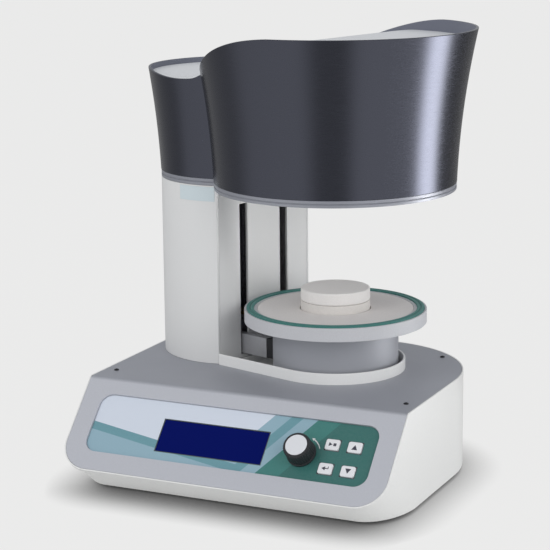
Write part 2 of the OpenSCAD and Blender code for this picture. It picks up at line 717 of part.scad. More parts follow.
// Column frame: a welded steel back with a flange at each end
frame_w = 96;
frame_behind = 64;
frame_back = screw_at + frame_behind;
frame_wall_t = 4;
module column_frame() color([0.5, 0.51, 0.53]) tower() difference() {
  union() {
    for (z = [deck_z + seat_gap, frame_top - frame_flange_t]) translate([-frame_back, -frame_w / 2, z])
      cube([frame_back - face_at - face_t - gap, frame_w, frame_flange_t - seat_gap]);
    translate([-frame_back, -frame_w / 2, deck_z + seat_gap])
      cube([frame_wall_t, frame_w, frame_top - deck_z - 2 * seat_gap]);
    for (s = [-1, 1])
      translate([-frame_back, s * (frame_w / 2 - frame_wall_t / 2) - frame_wall_t / 2, deck_z + seat_gap])
      cube([26, frame_wall_t, frame_top - deck_z - 2 * seat_gap]);
  }
  for (s = [-1, 1]) translate([-screw_at, s * slot_at, rod_bottom - 4])
    cylinder(r = rod_r + seat_gap, h = frame_top);
  translate([-screw_at, 0, deck_z - 1]) cylinder(r = bearing_r + seat_gap, h = frame_flange_t + 2);
  translate([-screw_at, 0, frame_top - frame_flange_t - 1])
    cylinder(r = bearing_r + seat_gap, h = frame_flange_t + 2);
}

module guide_rods() color([0.8, 0.81, 0.83]) tower() for (s = [-1, 1])
  translate([-screw_at, s * slot_at, rod_bottom - 4 + seat_gap])
    cylinder(r = rod_r, h = frame_top - rod_bottom + 2);

bearing_r = 11;
module screw_bearings() color([0.75, 0.75, 0.77]) tower() translate([-screw_at, 0, 0]) {
  translate([0, 0, deck_z + 0.5]) ring(bearing_r, screw_r + fit, frame_flange_t - 0.5);
  translate([0, 0, frame_top - frame_flange_t]) ring(bearing_r, screw_r + fit, frame_flange_t - 1);
}

coupling_bottom = motor_top + 6;
coupling_h = 20;
module lead_screw() color([0.78, 0.78, 0.8]) tower()
  translate([-screw_at, 0, coupling_bottom + coupling_h / 2 + 0.5])
  cylinder(r = screw_r, h = frame_top - 1.5 - coupling_bottom - coupling_h / 2);

module motor_coupling() color([0.7, 0.5, 0.25]) tower()
translate([-screw_at, 0, coupling_bottom]) difference() {
  cylinder(r = 9.5, h = coupling_h);
  translate([0, 0, coupling_h / 2]) cylinder(r = screw_r + fit, h = coupling_h);
  translate([0, 0, -1]) cylinder(r = 4 + fit, h = coupling_h / 2);
}

module lift_motor() color([0.12, 0.12, 0.13]) tower()
translate([-screw_at, 0, motor_top - motor_h]) difference() {
  union() {
    block(motor_w, motor_w, motor_h);
    translate([0, 0, motor_h]) cylinder(r = 19, h = 1.6);
    cylinder(r = 4, h = motor_h + 6 + coupling_h / 2 - 1.5);
  }
  for (sx = [-1, 1], sy = [-1, 1]) translate([sx * motor_hole, sy * motor_hole, motor_h - 5])
    cylinder(r = 2.2, h = 10);
}

module motor_posts() color([0.75, 0.76, 0.78]) tower() translate([-screw_at, 0, 0])
  for (sx = [-1, 1], sy = [-1, 1]) translate([sx * motor_hole, sy * motor_hole, 0]) {
    translate([0, 0, motor_top + seat_gap])
      cylinder(r = 4, h = base_frame_top - base_frame_t - motor_top - 2 * seat_gap);
    translate([0, 0, motor_top - 4.5]) cylinder(r = 2.1, h = base_frame_top - motor_top + 4.5);
  }

// Everything from here to the tray rides on the lift
module carriage() color([0.7, 0.71, 0.73]) tower() difference() {
  translate([-carriage_back, -slot_at - carriage_side, carriage_z])
    cube([carriage_back - carriage_front, 2 * (slot_at + carriage_side), carriage_h]);
  for (s = [-1, 1]) translate([-screw_at, s * slot_at, carriage_z - 1])
    cylinder(r = bush_r + seat_gap, h = carriage_h + 2);
  translate([-screw_at, 0, carriage_z - 1]) cylinder(r = nut_r + seat_gap, h = carriage_h + 2);
  for (s = [-1, 1])
    translate([-carriage_front - arm_socket, s * slot_at - arm_w / 2 - seat_gap, arm_bottom - seat_gap])
    cube([arm_socket + 1, arm_w + 2 * seat_gap, arm_h + 2 * seat_gap]);
}

module bushings() color([0.85, 0.85, 0.86]) tower() for (s = [-1, 1], z = [0, 1])
  translate([-screw_at, s * slot_at, carriage_z + z * (carriage_h - bush_h)])
    ring(bush_r, rod_r + fit, bush_h);

module screw_nut() color([0.75, 0.6, 0.3]) tower() translate([-screw_at, 0, carriage_z]) {
  ring(nut_r, screw_r + fit, carriage_h + 4);
  translate([0, 0, carriage_h + seat_gap]) ring(nut_r + 5, screw_r + fit, 4 - seat_gap);
}

module lift_arms() color([0.62, 0.64, 0.67]) tower() for (s = [-1, 1])
  translate([seat_gap - carriage_front - arm_socket, s * slot_at - arm_w / 2, arm_bottom])
    cube([carriage_front + arm_socket - seat_gap - arm_end, arm_w, arm_h]);

module arm_spacers() color([0.07, 0.07, 0.08]) tower() difference() {
  for (s = [-1, 1]) translate([-arm_end + seat_gap, s * slot_at - arm_w / 2, arm_bottom])
    cube([spacer_len + 12, arm_w, arm_h]);
  translate([0, 0, arm_bottom - 1]) cylinder(r = drum_r + seat_gap, h = arm_h + 2);
}

module lift_drum() color([0.66, 0.67, 0.69]) tower() translate([0, 0, drum_bottom]) difference() {
  cylinder(r = drum_r, h = table_bottom - drum_bottom - thin);
  translate([0, 0, drum_wall]) cylinder(r = drum_r - drum_wall, h = 200);
}

module table_plate() color([0.7, 0.71, 0.73]) tower() translate([0, 0, table_bottom]) difference() {
  rotate_extrude() polygon([[0, 0], [table_r - 1, 0], [table_r, 1], [table_r, table_t - 1],
    [table_r - 1, table_t], [0, table_t]]);
  translate([0, 0, table_t - disc_t - thin]) cylinder(r = disc_r + gap, h = disc_t + 1);
  translate([0, 0, table_t - seal_groove]) ring(seal_out_r + seat_gap, seal_in_r - seat_gap, seal_groove + 1);
}

module table_seal() color([0.12, 0.42, 0.38]) tower() translate([0, 0, table_top - seal_groove + thin])
  rotate_extrude() polygon([[seal_in_r, 0], [seal_out_r, 0], [seal_out_r, seal_groove + seal_proud - 0.9],
    [seal_out_r - 0.9, seal_groove + seal_proud - thin], [seal_in_r + 0.9, seal_groove + seal_proud - thin],
    [seal_in_r, seal_groove + seal_proud - 0.9]]);

disc_bottom = table_top - disc_t;
module insulation_disc() color([0.9, 0.88, 0.85]) tower() translate([0, 0, disc_bottom])
  ring(disc_r, pedestal_r + 1, disc_t);

module pedestal() color([0.93, 0.91, 0.87]) tower() translate([0, 0, disc_bottom])
  rotate_extrude() polygon([[0, 0], [pedestal_r, 0], [pedestal_r, disc_t + pedestal_up - 1],
    [pedestal_r - 1, disc_t + pedestal_up], [0, disc_t + pedestal_up]]);

module firing_tray() color([0.95, 0.93, 0.9]) tower() translate([0, 0, table_top + pedestal_up + thin])
  rotate_extrude() polygon(concat([[0, 0], [pedestal_r - 1, 0], [pedestal_r, 1]],
    [for (a = [0 : 15 : 90]) [pedestal_r - 3 + 3 * cos(a), tray_t - 3 + 3 * sin(a)]], [[0, tray_t]]));

// Head: one outline of two circles, the drum over the table and the smaller part over the column
module head_outline(inset) {
  circle(r = head_r - inset, $fn = 160);
  column_disc(column_r - inset);
}

module trim_band() color([0.75, 0.76, 0.79]) tower() difference() {
  groove_z = (trim_h - trim_groove_h) / 2;
  translate([0, 0, head_z]) union() {
    linear_extrude(groove_z) head_outline(0);
    translate([0, 0, groove_z]) linear_extrude(trim_groove_h) head_outline(trim_groove);
    translate([0, 0, groove_z + trim_groove_h]) linear_extrude(groove_z) head_outline(0);
  }
  translate([0, 0, head_z - 1]) linear_extrude(trim_h + 2) head_outline(trim_wall);
}

can_r = insulation_out_r + gap + can_wall;
module head_plate() color([0.5, 0.51, 0.53]) tower() translate([0, 0, frame_top]) difference() {
  linear_extrude(head_plate_t) head_outline(trim_wall + gap);
  translate([0, 0, -1]) cylinder(r = can_r + gap, h = head_plate_t + 2);
  translate([-pipe_back, 0, -1]) cylinder(r = pipe_r + 1, h = head_plate_t + 2);
  for (s = [-1, 1]) translate([-screw_at, s * slot_at, -1]) cylinder(r = rod_r + 1, h = head_plate_t + 2);
}

flare_steps = 7;
function flare_profile(r, lean, curve, inset, from, to) = concat([[0, from]],
  [for (i = [0 : flare_steps]) let (z = from + (to - from) * i / flare_steps)
    [flare(r, lean, curve, z - head_z) - inset, z]], [[0, to]]);
cover_z = head_z + trim_h + thin;
module flared(inset, from, to) {
  rotate_extrude($fn = 160) polygon(flare_profile(head_r, drum_lean, drum_curve, inset, from, to));
  translate([-column_at, 0, 0]) rotate_extrude($fn = 128)
    polygon(flare_profile(column_r, column_lean, column_curve, inset, from, to));
}

module above(lower) rotate([90, 0, 0]) translate([0, 0, -high_r - 10]) linear_extrude(2 * high_r + 20)
  polygon(concat([[-320, rim_high + 60]], lower, [[220, rim_high + 60]]));

module head_cover() color([0.22, 0.24, 0.3]) tower() difference() {
  flared(0, cover_z, rim_high);
  flared(head_wall, cover_z - 1, rim_high + 1);
  above([for (u = WAVE) [u, rim_z(u)]]);
}

module head_lid() color([0.94, 0.94, 0.93]) tower() intersection() {
  flared(head_wall + gap, rim_dip - 40, rim_high);
  rotate([90, 0, 0]) translate([0, 0, -high_r]) linear_extrude(2 * high_r) polygon(concat(
    [for (u = WAVE) [u, lid_z(u)]], [for (i = [len(WAVE) - 1 : -1 : 0]) [WAVE[i], lid_z(WAVE[i]) - lid_t]]));
}

// Muffle: the heated chamber inside the head
stack_z = head_z + muffle_flange_t;
ceiling_z = stack_z + chamber_h;
module muffle_flange() color([0.7, 0.71, 0.73]) tower() translate([0, 0, head_z])
  ring(muffle_flange_r, mouth_r, muffle_flange_t - thin);

module muffle_insulation() color([0.92, 0.9, 0.87]) tower() {
  translate([0, 0, stack_z]) ring(insulation_out_r, insulation_in_r, chamber_h - thin);
  translate([0, 0, ceiling_z]) ring(insulation_out_r, thermo_r + fit, top_insulation_t);
}

can_h = chamber_h + top_insulation_t + gap;
module muffle_can() color([0.75, 0.76, 0.78]) tower() translate([0, 0, stack_z]) difference() {
  cylinder(r = can_r, h = can_h + can_wall);
  translate([0, 0, -1]) cylinder(r = can_r - can_wall, h = can_h + 1);
  cylinder(r = thermo_r + 1, h = can_h + 10);
  rotate([0, -90, 0]) translate([pipe_top - stack_z, 0, 0]) cylinder(r = pipe_r + gap, h = can_r + 5);
}

quartz_h = chamber_h - 4;
module quartz_tube() color([0.85, 0.87, 0.88, 0.6]) tower() translate([0, 0, stack_z])
  ring(quartz_out_r, quartz_in_r, quartz_h);

coil_pitch = (chamber_h - 16) / coil_turns;
coil_rings = 24;
coil_r = (quartz_out_r + gap + wire_r) / cos(180 / coil_rings);
coil_sides = 6;
function coil_axis(i) = let (a = i * 360 / coil_rings)
  [coil_r * cos(a), coil_r * sin(a), 8 + coil_pitch * i / coil_rings];
function coil_point(i, j) =
  let (a = i * 360 / coil_rings, b = j * 360 / coil_sides, r = coil_r + wire_r * cos(b))
  [r * cos(a), r * sin(a), coil_axis(i)[2] + wire_r * sin(b)];
coil_steps = coil_turns * coil_rings;
coil_points = [for (i = [0 : coil_steps], j = [0 : coil_sides - 1]) coil_point(i, j)];
coil_faces = concat([[for (j = [coil_sides - 1 : -1 : 0]) j]],
  [for (i = [0 : coil_steps - 1], j = [0 : coil_sides - 1], h = [0, 1])
    let (a = i * coil_sides + j, b = i * coil_sides + (j + 1) % coil_sides,
      c = a + coil_sides, d = b + coil_sides)
    h == 0 ? [a, b, c] : [b, d, c]],
  [[for (j = [0 : coil_sides - 1]) coil_steps * coil_sides + j]]);
coil_gap = min([for (i = [0 : coil_rings - 1], j = [0 : coil_sides - 1], k = [0 : coil_sides - 1])
  norm(coil_point(i, j) - coil_point(i + coil_rings, k))]);
echo(least_gap_between_turns = coil_gap);
module heater_coil() color([0.45, 0.36, 0.3]) tower() translate([0, 0, stack_z])
  polyhedron(points = coil_points, faces = coil_faces);

thermo_top = stack_z + can_h + can_wall;
module thermocouple() color([0.88, 0.86, 0.8]) tower() {
  translate([0, 0, ceiling_z - 14]) cylinder(r = thermo_r, h = thermo_top - ceiling_z + 14 + 1);
  translate([0, 0, thermo_top + seat_gap]) cylinder(r = 7, h = 14);
}

// Vacuum line: from the rear spigot through a valve and up the column to the muffle
pipe_r = 4;
pipe_back = column_at + 66;
pipe_top = stack_z + 18;
valve_x = inlet_x - fuse_off;
valve_z = spigot_z;
valve_d = 34;
valve_w = 28;
pipe_corner = [lift_x - pipe_back * cos(tower_turn), lift_y + pipe_back * sin(tower_turn), valve_z];
pipe_end = can_r - can_wall + gap;
muffle_joint = [lift_x - pipe_end * cos(tower_turn), lift_y + pipe_end * sin(tower_turn), pipe_top];
valve_side = [valve_x - valve_w / 2 - seat_gap, base_back - wall - valve_d / 2, valve_z];
module vacuum_pipe() color([0.72, 0.45, 0.3]) place() {
  upper = [pipe_corner[0], pipe_corner[1], pipe_top];
  turn = valve_side - [10, 0, 0];
  bar(valve_side, turn, pipe_r);
  bar(turn, pipe_corner, pipe_r);
  bar(pipe_corner, upper, pipe_r);
  bar(upper, muffle_joint, pipe_r);
  for (p = [turn, pipe_corner, upper]) translate(p) cube(2 * pipe_r + 3, center = true);
}

module vacuum_valve() color([0.75, 0.62, 0.35]) {
  place() translate([valve_x, base_back - wall - valve_d / 2 - gap, valve_z - valve_w / 2])
    block(valve_w, valve_d, valve_w);
  rear_wall(valve_x, valve_z) {
    translate([0, 0, -4]) cylinder(r = spigot_r + 4, h = 4 - seat_gap, $fn = 6);
    translate([0, 0, -4]) cylinder(r = spigot_r + 2, h = 4 + wall + gap + 1);
    translate([0, 0, -spigot_out]) cylinder(r = spigot_r, h = spigot_out);
    translate([0, 0, -8]) cylinder(r = spigot_r + 1, h = 4);
  }
}

// Fan: a square frame with a rotor that turns on a pin in the frame's hub
fan_hole_r = fan_w / 2 - 1.5;
fan_hub_r = 8.5;
module cooling_fan() color([0.1, 0.1, 0.11]) rear_wall(fan_x, fan_z) {
  translate([0, 0, wall + seat_gap]) difference() {
    block(fan_w, fan_w, fan_d);
    translate([0, 0, -1]) cylinder(r = fan_hole_r, h = fan_d + 2);
    for (sx = [-1, 1], sy = [-1, 1]) translate([sx * (fan_w / 2 - 4), sy * (fan_w / 2 - 4), -1])
      cylinder(r = 1.7, h = fan_d + 2);
  }
  translate([0, 0, wall + fan_d - 2]) difference() {
    union() {
      cylinder(r = fan_hub_r, h = 2);
      for (a = [0, 120, 240]) rotate([0, 0, a]) translate([0, -1.5, 0]) cube([fan_hole_r + 1, 3, 2]);
    }
    translate([0, 0, -1]) cylinder(r = 1.5 + fit, h = 4);
  }
}

fan_blades = 7;
module fan_rotor() color([0.14, 0.14, 0.15]) rear_wall(fan_x, fan_z) {
  translate([0, 0, wall + 2]) cylinder(r = fan_hub_r, h = fan_d - 4 - gap);
  translate([0, 0, wall + 2]) cylinder(r = 1.5, h = fan_d - 2);
  for (i = [0 : fan_blades - 1]) rotate([0, 0, i * 360 / fan_blades])
    translate([fan_hub_r - 1, 0, wall + fan_d / 2])
    rotate([38, 0, 0]) translate([0, -0.7, -6]) cube([fan_hole_r - fan_hub_r, 1.4, 12]);
}

// Power supply: a sheet cage that stands on the base plate
supply_w = 110;
supply_d = 62;
supply_h = 38;
supply_at = [96, 118];
module power_supply() color([0.72, 0.73, 0.74]) place()
translate([supply_at[0], supply_at[1], floor_t + plate_t]) difference() {
  block(supply_w, supply_d, supply_h);
  for (i = [-5 : 5]) translate([i * 8, 0, supply_h - 1.2]) block(4, supply_d - 16, 2);
}

socket_w = 24;
socket_h = 16.6;
socket_deep = 13;
module mains_inlet() color([0.1, 0.1, 0.11]) rear_wall(inlet_x, inlet_z) {
  difference() {
    union() {
      translate([0, 0, -2]) block(inlet_w, inlet_h, 2 - seat_gap);
      translate([0, 0, -2]) block(socket_w + 3, socket_h + 3, socket_deep + 9);
    }
    translate([0, 0, -3]) block(socket_w, socket_h, socket_deep + 3);
  }
  for (p = [[-7, 2], [7, 2], [0, -3]]) translate([p[0], p[1], 0]) block(2, 4, socket_deep + 1);
}

rocker_pin_r = 1.2;
rocker_in = 4;
rocker_w = 12;
module mains_fittings() color([0.12, 0.12, 0.13]) {
  rear_wall(inlet_x, switch_z) difference() {
    union() {
      translate([0, 0, -1.6]) block(switch_w, switch_h, 1.6 - seat_gap);
      translate([0, 0, -1.6]) block(switch_w - 2, switch_h - 2, 18);
    }
    translate([0, 0, -3]) block(switch_w - 4, switch_h - 4, 14);
    translate([0, switch_h, rocker_in]) rotate([90, 0, 0]) cylinder(r = rocker_pin_r + fit, h = 2 * switch_h);
  }
  rear_wall(inlet_x + fuse_off, switch_z) {
    translate([0, 0, -6]) cylinder(r = fuse_r, h = 6 - seat_gap);
    translate([0, 0, -1]) cylinder(r = fuse_r - 1.3, h = 30);
  }
}

module rocker() color([0.08, 0.08, 0.08]) rear_wall(inlet_x, switch_z)
translate([0, 0, rocker_in]) rotate([90, 0, 0]) {
  w = rocker_w / 2;
  translate([0, 0, -(switch_h - 5) / 2]) linear_extrude(switch_h - 5)
    polygon([[-w, -3.6], [0, -4.6], [w, -6], [w, -2], [w / 2, 2.6], [-w / 2, 2.6], [-w, -2]]);
  translate([0, 0, -switch_h / 2 + 1.2]) cylinder(r = rocker_pin_r, h = switch_h - 2.4);
}

base_housing();
base_plate();
feet();
foot_screws();
base_frame();
top_cover();
cover_screws();
panel_plate();
panel_overlay();
display_glass();
display_module();
control_board();
encoder_body();
encoder_shaft();
knob();
knob_cap();
key_start();
key_up();
key_back();
key_down();
lift_well();
column_shell();
column_face();
name_plate();
column_frame();
guide_rods();
screw_bearings();
lead_screw();
motor_coupling();
lift_motor();
motor_posts();
carriage();
bushings();
screw_nut();
lift_arms();
arm_spacers();
lift_drum();
table_plate();
table_seal();
insulation_disc();
pedestal();
firing_tray();
trim_band();
head_plate();
head_cover();
head_lid();
muffle_flange();
muffle_insulation();
muffle_can();
quartz_tube();
heater_coil();
thermocouple();
vacuum_pipe();
vacuum_valve();
cooling_fan();
fan_rotor();
power_supply();
mains_inlet();
mains_fittings();
rocker();
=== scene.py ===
"""Dental porcelain furnace: finishes, detailed pieces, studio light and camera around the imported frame.

Pieces are modelled in millimetres in one of three places of the object (the base, the panel, the
tower) and then settled into the frame, which is in metres.
"""

import json
import logging
import math
from dataclasses import dataclass
from enum import Enum
from typing import Callable, Sequence

import bpy
from mathutils import Matrix, Vector


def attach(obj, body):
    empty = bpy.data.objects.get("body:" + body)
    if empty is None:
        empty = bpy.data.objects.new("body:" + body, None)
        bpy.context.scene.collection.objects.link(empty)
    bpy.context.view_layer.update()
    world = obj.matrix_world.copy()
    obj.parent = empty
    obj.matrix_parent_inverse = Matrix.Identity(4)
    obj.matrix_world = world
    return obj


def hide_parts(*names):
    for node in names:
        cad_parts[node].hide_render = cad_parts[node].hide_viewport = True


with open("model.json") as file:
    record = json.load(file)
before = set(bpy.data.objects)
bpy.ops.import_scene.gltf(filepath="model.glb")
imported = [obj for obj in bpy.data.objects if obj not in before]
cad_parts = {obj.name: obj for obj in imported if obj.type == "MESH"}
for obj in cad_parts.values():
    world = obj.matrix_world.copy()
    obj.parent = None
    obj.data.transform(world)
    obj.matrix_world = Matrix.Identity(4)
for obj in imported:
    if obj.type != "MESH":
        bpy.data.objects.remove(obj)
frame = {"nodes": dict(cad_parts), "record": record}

logging.basicConfig(level=logging.INFO, format="%(message)s")
LOG = logging.getLogger("furnace")

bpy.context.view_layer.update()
MM = 0.001
MERGE_MM = 0.002
GAP_MM = 0.02
FLAT_DEGREES = 0.6
FLAT_WEIGHT = 60
ROUND_STEPS = 160
NOISE_RANGE = (0.3, 0.7)
Point = tuple[float, float]
Colour = tuple[float, float, float]
Piece = bpy.types.Object
Socket = bpy.types.NodeSocket


@dataclass(frozen=True)
class Layout:
    """Where the object's main lines lie, in millimetres, from the base's front bend and underside."""

    middle_x: float = 3.48157
    middle_y: float = 114.87063
    foot_height: float = 6.0
    deck: float = 114.5
    slope_degrees: float = 46.5
    lift_x: float = 48.5
    lift_y: float = 149.5
    tower_turn: float = 17.0
    column_at: float = -156.0
    head_bottom: float = 330.5
    table_top: float = 187.0


LAYOUT = Layout()


def base_place() -> Matrix:
    """Matrix from the base's millimetres to the frame's metres."""
    shift = Vector((-LAYOUT.middle_x, -LAYOUT.middle_y, LAYOUT.foot_height))
    return Matrix.Scale(MM, 4) @ Matrix.Translation(shift)


class Place(Enum):
    """The three places that pieces are modelled in."""

    BASE = "base"
    PANEL = "panel"
    TOWER = "tower"

    def matrix(self) -> Matrix:
        """Matrix from this place's millimetres to the frame's metres.

        Returns:
            A four by four matrix.
        """
        if self is Place.PANEL:
            slope = Matrix.Rotation(math.radians(LAYOUT.slope_degrees), 4, "X")
            return base_place() @ Matrix.Translation((0, 0, LAYOUT.deck)) @ slope
        if self is Place.TOWER:
            turn = Matrix.Rotation(math.radians(-LAYOUT.tower_turn), 4, "Z")
            return base_place() @ Matrix.Translation((LAYOUT.lift_x, LAYOUT.lift_y, 0)) @ turn
        return base_place()


def panel_up() -> tuple[float, float, float]:
    """Direction up the sloping panel."""
    rise = math.radians(LAYOUT.slope_degrees)
    return (0, math.cos(rise), math.sin(rise))


class Bench:
    """The modelling tools: thin wraps of Blender's own operators."""

    @staticmethod
    def clear() -> None:
        """Leave edit mode and deselect everything."""
        if bpy.context.object is not None and bpy.context.object.mode != "OBJECT":
            bpy.ops.object.mode_set(mode="OBJECT")
        bpy.ops.object.select_all(action="DESELECT")

    @staticmethod
    def take(piece: Piece) -> Piece:
        """Select one piece alone and make it active.

        Args:
            piece: The piece to work on.

        Returns:
            The same piece.
        """
        Bench.clear()
        piece.select_set(True)
        bpy.context.view_layer.objects.active = piece
        return piece

    @staticmethod
    def edit(piece: Piece, mode: str = "VERT", chosen: bool = True) -> None:
        """Open a piece in edit mode with all or nothing selected.

        Args:
            piece: The piece to open.
            mode: What is selected: VERT, EDGE or FACE.
            chosen: Whether everything starts selected.
        """
        Bench.take(piece)
        bpy.ops.object.mode_set(mode="EDIT")
        bpy.ops.mesh.select_mode(type=mode)
        bpy.ops.mesh.select_all(action="SELECT" if chosen else "DESELECT")

    @staticmethod
    def done(piece: Piece) -> Piece:
        """Close edit mode and hand the piece back."""
        bpy.ops.object.mode_set(mode="OBJECT")
        return piece

    @staticmethod
    def block(name: str, size: Sequence[float], at: Sequence[float]) -> Piece:
        """Add a block by its size and its middle, in millimetres."""
        Bench.clear()
        bpy.ops.mesh.primitive_cube_add(size=1, location=at, scale=size)
        return Bench.named(name)

    @staticmethod
    def rod(name: str, radius: float, depth: float, at: Sequence[float], sides: int = 64) -> Piece:
        """Add an upright rod by its radius, length and middle, in millimetres."""
        Bench.clear()
        bpy.ops.mesh.primitive_cylinder_add(vertices=sides, radius=radius, depth=depth, location=at)
        return Bench.named(name)

    @staticmethod
    def named(name: str) -> Piece:
        """Name the active object and set its transform into its mesh."""
        piece = bpy.context.object
        piece.name = name
        piece.data.name = name
        bpy.ops.object.transform_apply(location=True, rotation=True, scale=True)
        return piece

    @staticmethod
    def sheet(name: str, across: int, along: int, bend: Callable[[float, float], Vector]) -> Piece:
        """Add a flat grid and wrap it into a shape.

        Args:
            name: The piece's name.
            across: Number of cells across.
            along: Number of cells along.
            bend: Gives the place of the point that lies at two shares of the sheet.

        Returns:
            The wrapped sheet, with its seams closed.
        """
        Bench.clear()
        bpy.ops.mesh.primitive_grid_add(x_subdivisions=across, y_subdivisions=along, size=2)
        piece = Bench.named(name)
        for vertex in piece.data.vertices:
            vertex.co = bend((vertex.co.x + 1) / 2, (vertex.co.y + 1) / 2)
        return Bench.close(piece)

    @staticmethod
    def pick(piece: Piece, mode: str, chosen: Callable[[object], bool]) -> None:
        """Open a piece in edit mode with some of its edges or faces selected.

        Args:
            piece: The piece to open.
            mode: What is selected: EDGE or FACE.
            chosen: Says whether an edge or a face is selected.
        """
        Bench.edit(piece, mode, False)
        Bench.done(piece)
        for part in piece.data.edges if mode == "EDGE" else piece.data.polygons:
            part.select = chosen(part)
        Bench.take(piece)
        bpy.ops.object.mode_set(mode="EDIT")

    @staticmethod
    def close(piece: Piece) -> Piece:
        """Merge doubled points and turn faces outwards."""
        Bench.edit(piece)
        bpy.ops.mesh.remove_doubles(threshold=MERGE_MM)
        bpy.ops.mesh.normals_make_consistent(inside=False)
        return Bench.done(piece)

    @staticmethod
    def turned(name: str, outline: Sequence[Point], steps: int = ROUND_STEPS) -> Piece:
        """Spin an outline of (radius, height) points round an upright axis.

        Args:
            name: The piece's name.
            outline: Points in order; a closed ring repeats none of them.
            steps: Number of steps round.

        Returns:
            The turned piece.
        """
        Bench.clear()
        bpy.ops.mesh.primitive_plane_add(size=1, location=(outline[0][0], 0, outline[0][1]))
        piece = Bench.named(name)
        Bench.edit(piece)
        bpy.ops.mesh.merge(type="CENTER")
        ring = outline[0][0] > 0 and outline[-1][0] > 0
        points = list(outline) + ([outline[0]] if ring else [])
        for before, after in zip(points, points[1:]):
            step = (after[0] - before[0], 0, after[1] - before[1])
            bpy.ops.mesh.extrude_region_move(TRANSFORM_OT_translate={"value": step})
        bpy.ops.mesh.select_all(action="SELECT")
        bpy.ops.mesh.spin(steps=steps, angle=math.tau, center=(0, 0, 0), axis=(0, 0, 1))
        return Bench.close(piece)

    @staticmethod
    def copied(node: str, place: Place, name: str) -> Piece:
        """Copy a solid's mesh into a place, merge its loose faces and join its flat ones."""
        piece = bpy.data.objects.new(name, frame["nodes"][node].data.copy())
        bpy.context.scene.collection.objects.link(piece)
        piece.data.transform(place.matrix().inverted())
        piece.data.materials.clear()
        Bench.edit(piece)
        bpy.ops.mesh.customdata_custom_splitnormals_clear()
        bpy.ops.mesh.remove_doubles(threshold=MERGE_MM)
        bpy.ops.mesh.dissolve_limited(angle_limit=math.radians(FLAT_DEGREES))
        return Bench.done(piece)

    @staticmethod
    def apply(piece: Piece, modifier: bpy.types.Modifier) -> Piece:
        """Apply one of a piece's modifiers."""
        Bench.take(piece)
        bpy.ops.object.modifier_apply(modifier=modifier.name)
        return piece

    @staticmethod
    def soften(piece: Piece, width: float, segments: int = 3, angle: float = 40.0) -> Piece:
        """Round every edge that turns by more than an angle, and apply it."""
        rounding = piece.modifiers.new("soft edges", "BEVEL")
        rounding.width = width
        rounding.segments = segments
        rounding.limit_method = "ANGLE"
        rounding.angle_limit = math.radians(angle)
        rounding.use_clamp_overlap = True
        return Bench.apply(piece, rounding)

    @staticmethod
    def thicken(piece: Piece, thickness: float, side: float = -1.0) -> Piece:
        """Give a sheet a wall, and apply it."""
        wall = piece.modifiers.new("wall", "SOLIDIFY")
        wall.thickness = thickness
        wall.offset = side
        wall.use_even_offset = True
        return Bench.apply(piece, wall)

    @staticmethod
    def cut(piece: Piece, tool: Piece) -> Piece:
        """Take a tool's shape out of a piece and remove the tool."""
        taking = piece.modifiers.new("cut", "BOOLEAN")
        taking.operation = "DIFFERENCE"
        taking.object = tool
        taking.solver = "EXACT"
        Bench.apply(piece, taking)
        bpy.data.objects.remove(tool)
        return piece

    @staticmethod
    def smooth(piece: Piece, angle: float = 35.0) -> Piece:
        """Shade a piece smoothly except over sharp edges, with flat faces kept flat."""
        Bench.take(piece)
        bpy.ops.object.shade_smooth_by_angle(angle=math.radians(angle))
        weighing = piece.modifiers.new("flat faces", "WEIGHTED_NORMAL")
        weighing.keep_sharp = True
        weighing.weight = FLAT_WEIGHT
        return Bench.apply(piece, weighing)

    @staticmethod
    def join(name: str, pieces: Sequence[Piece]) -> Piece:
        """Join pieces into one object of that name."""
        Bench.clear()
        for piece in pieces:
            piece.select_set(True)
        bpy.context.view_layer.objects.active = pieces[0]
        bpy.ops.object.join()
        return Bench.named(name)


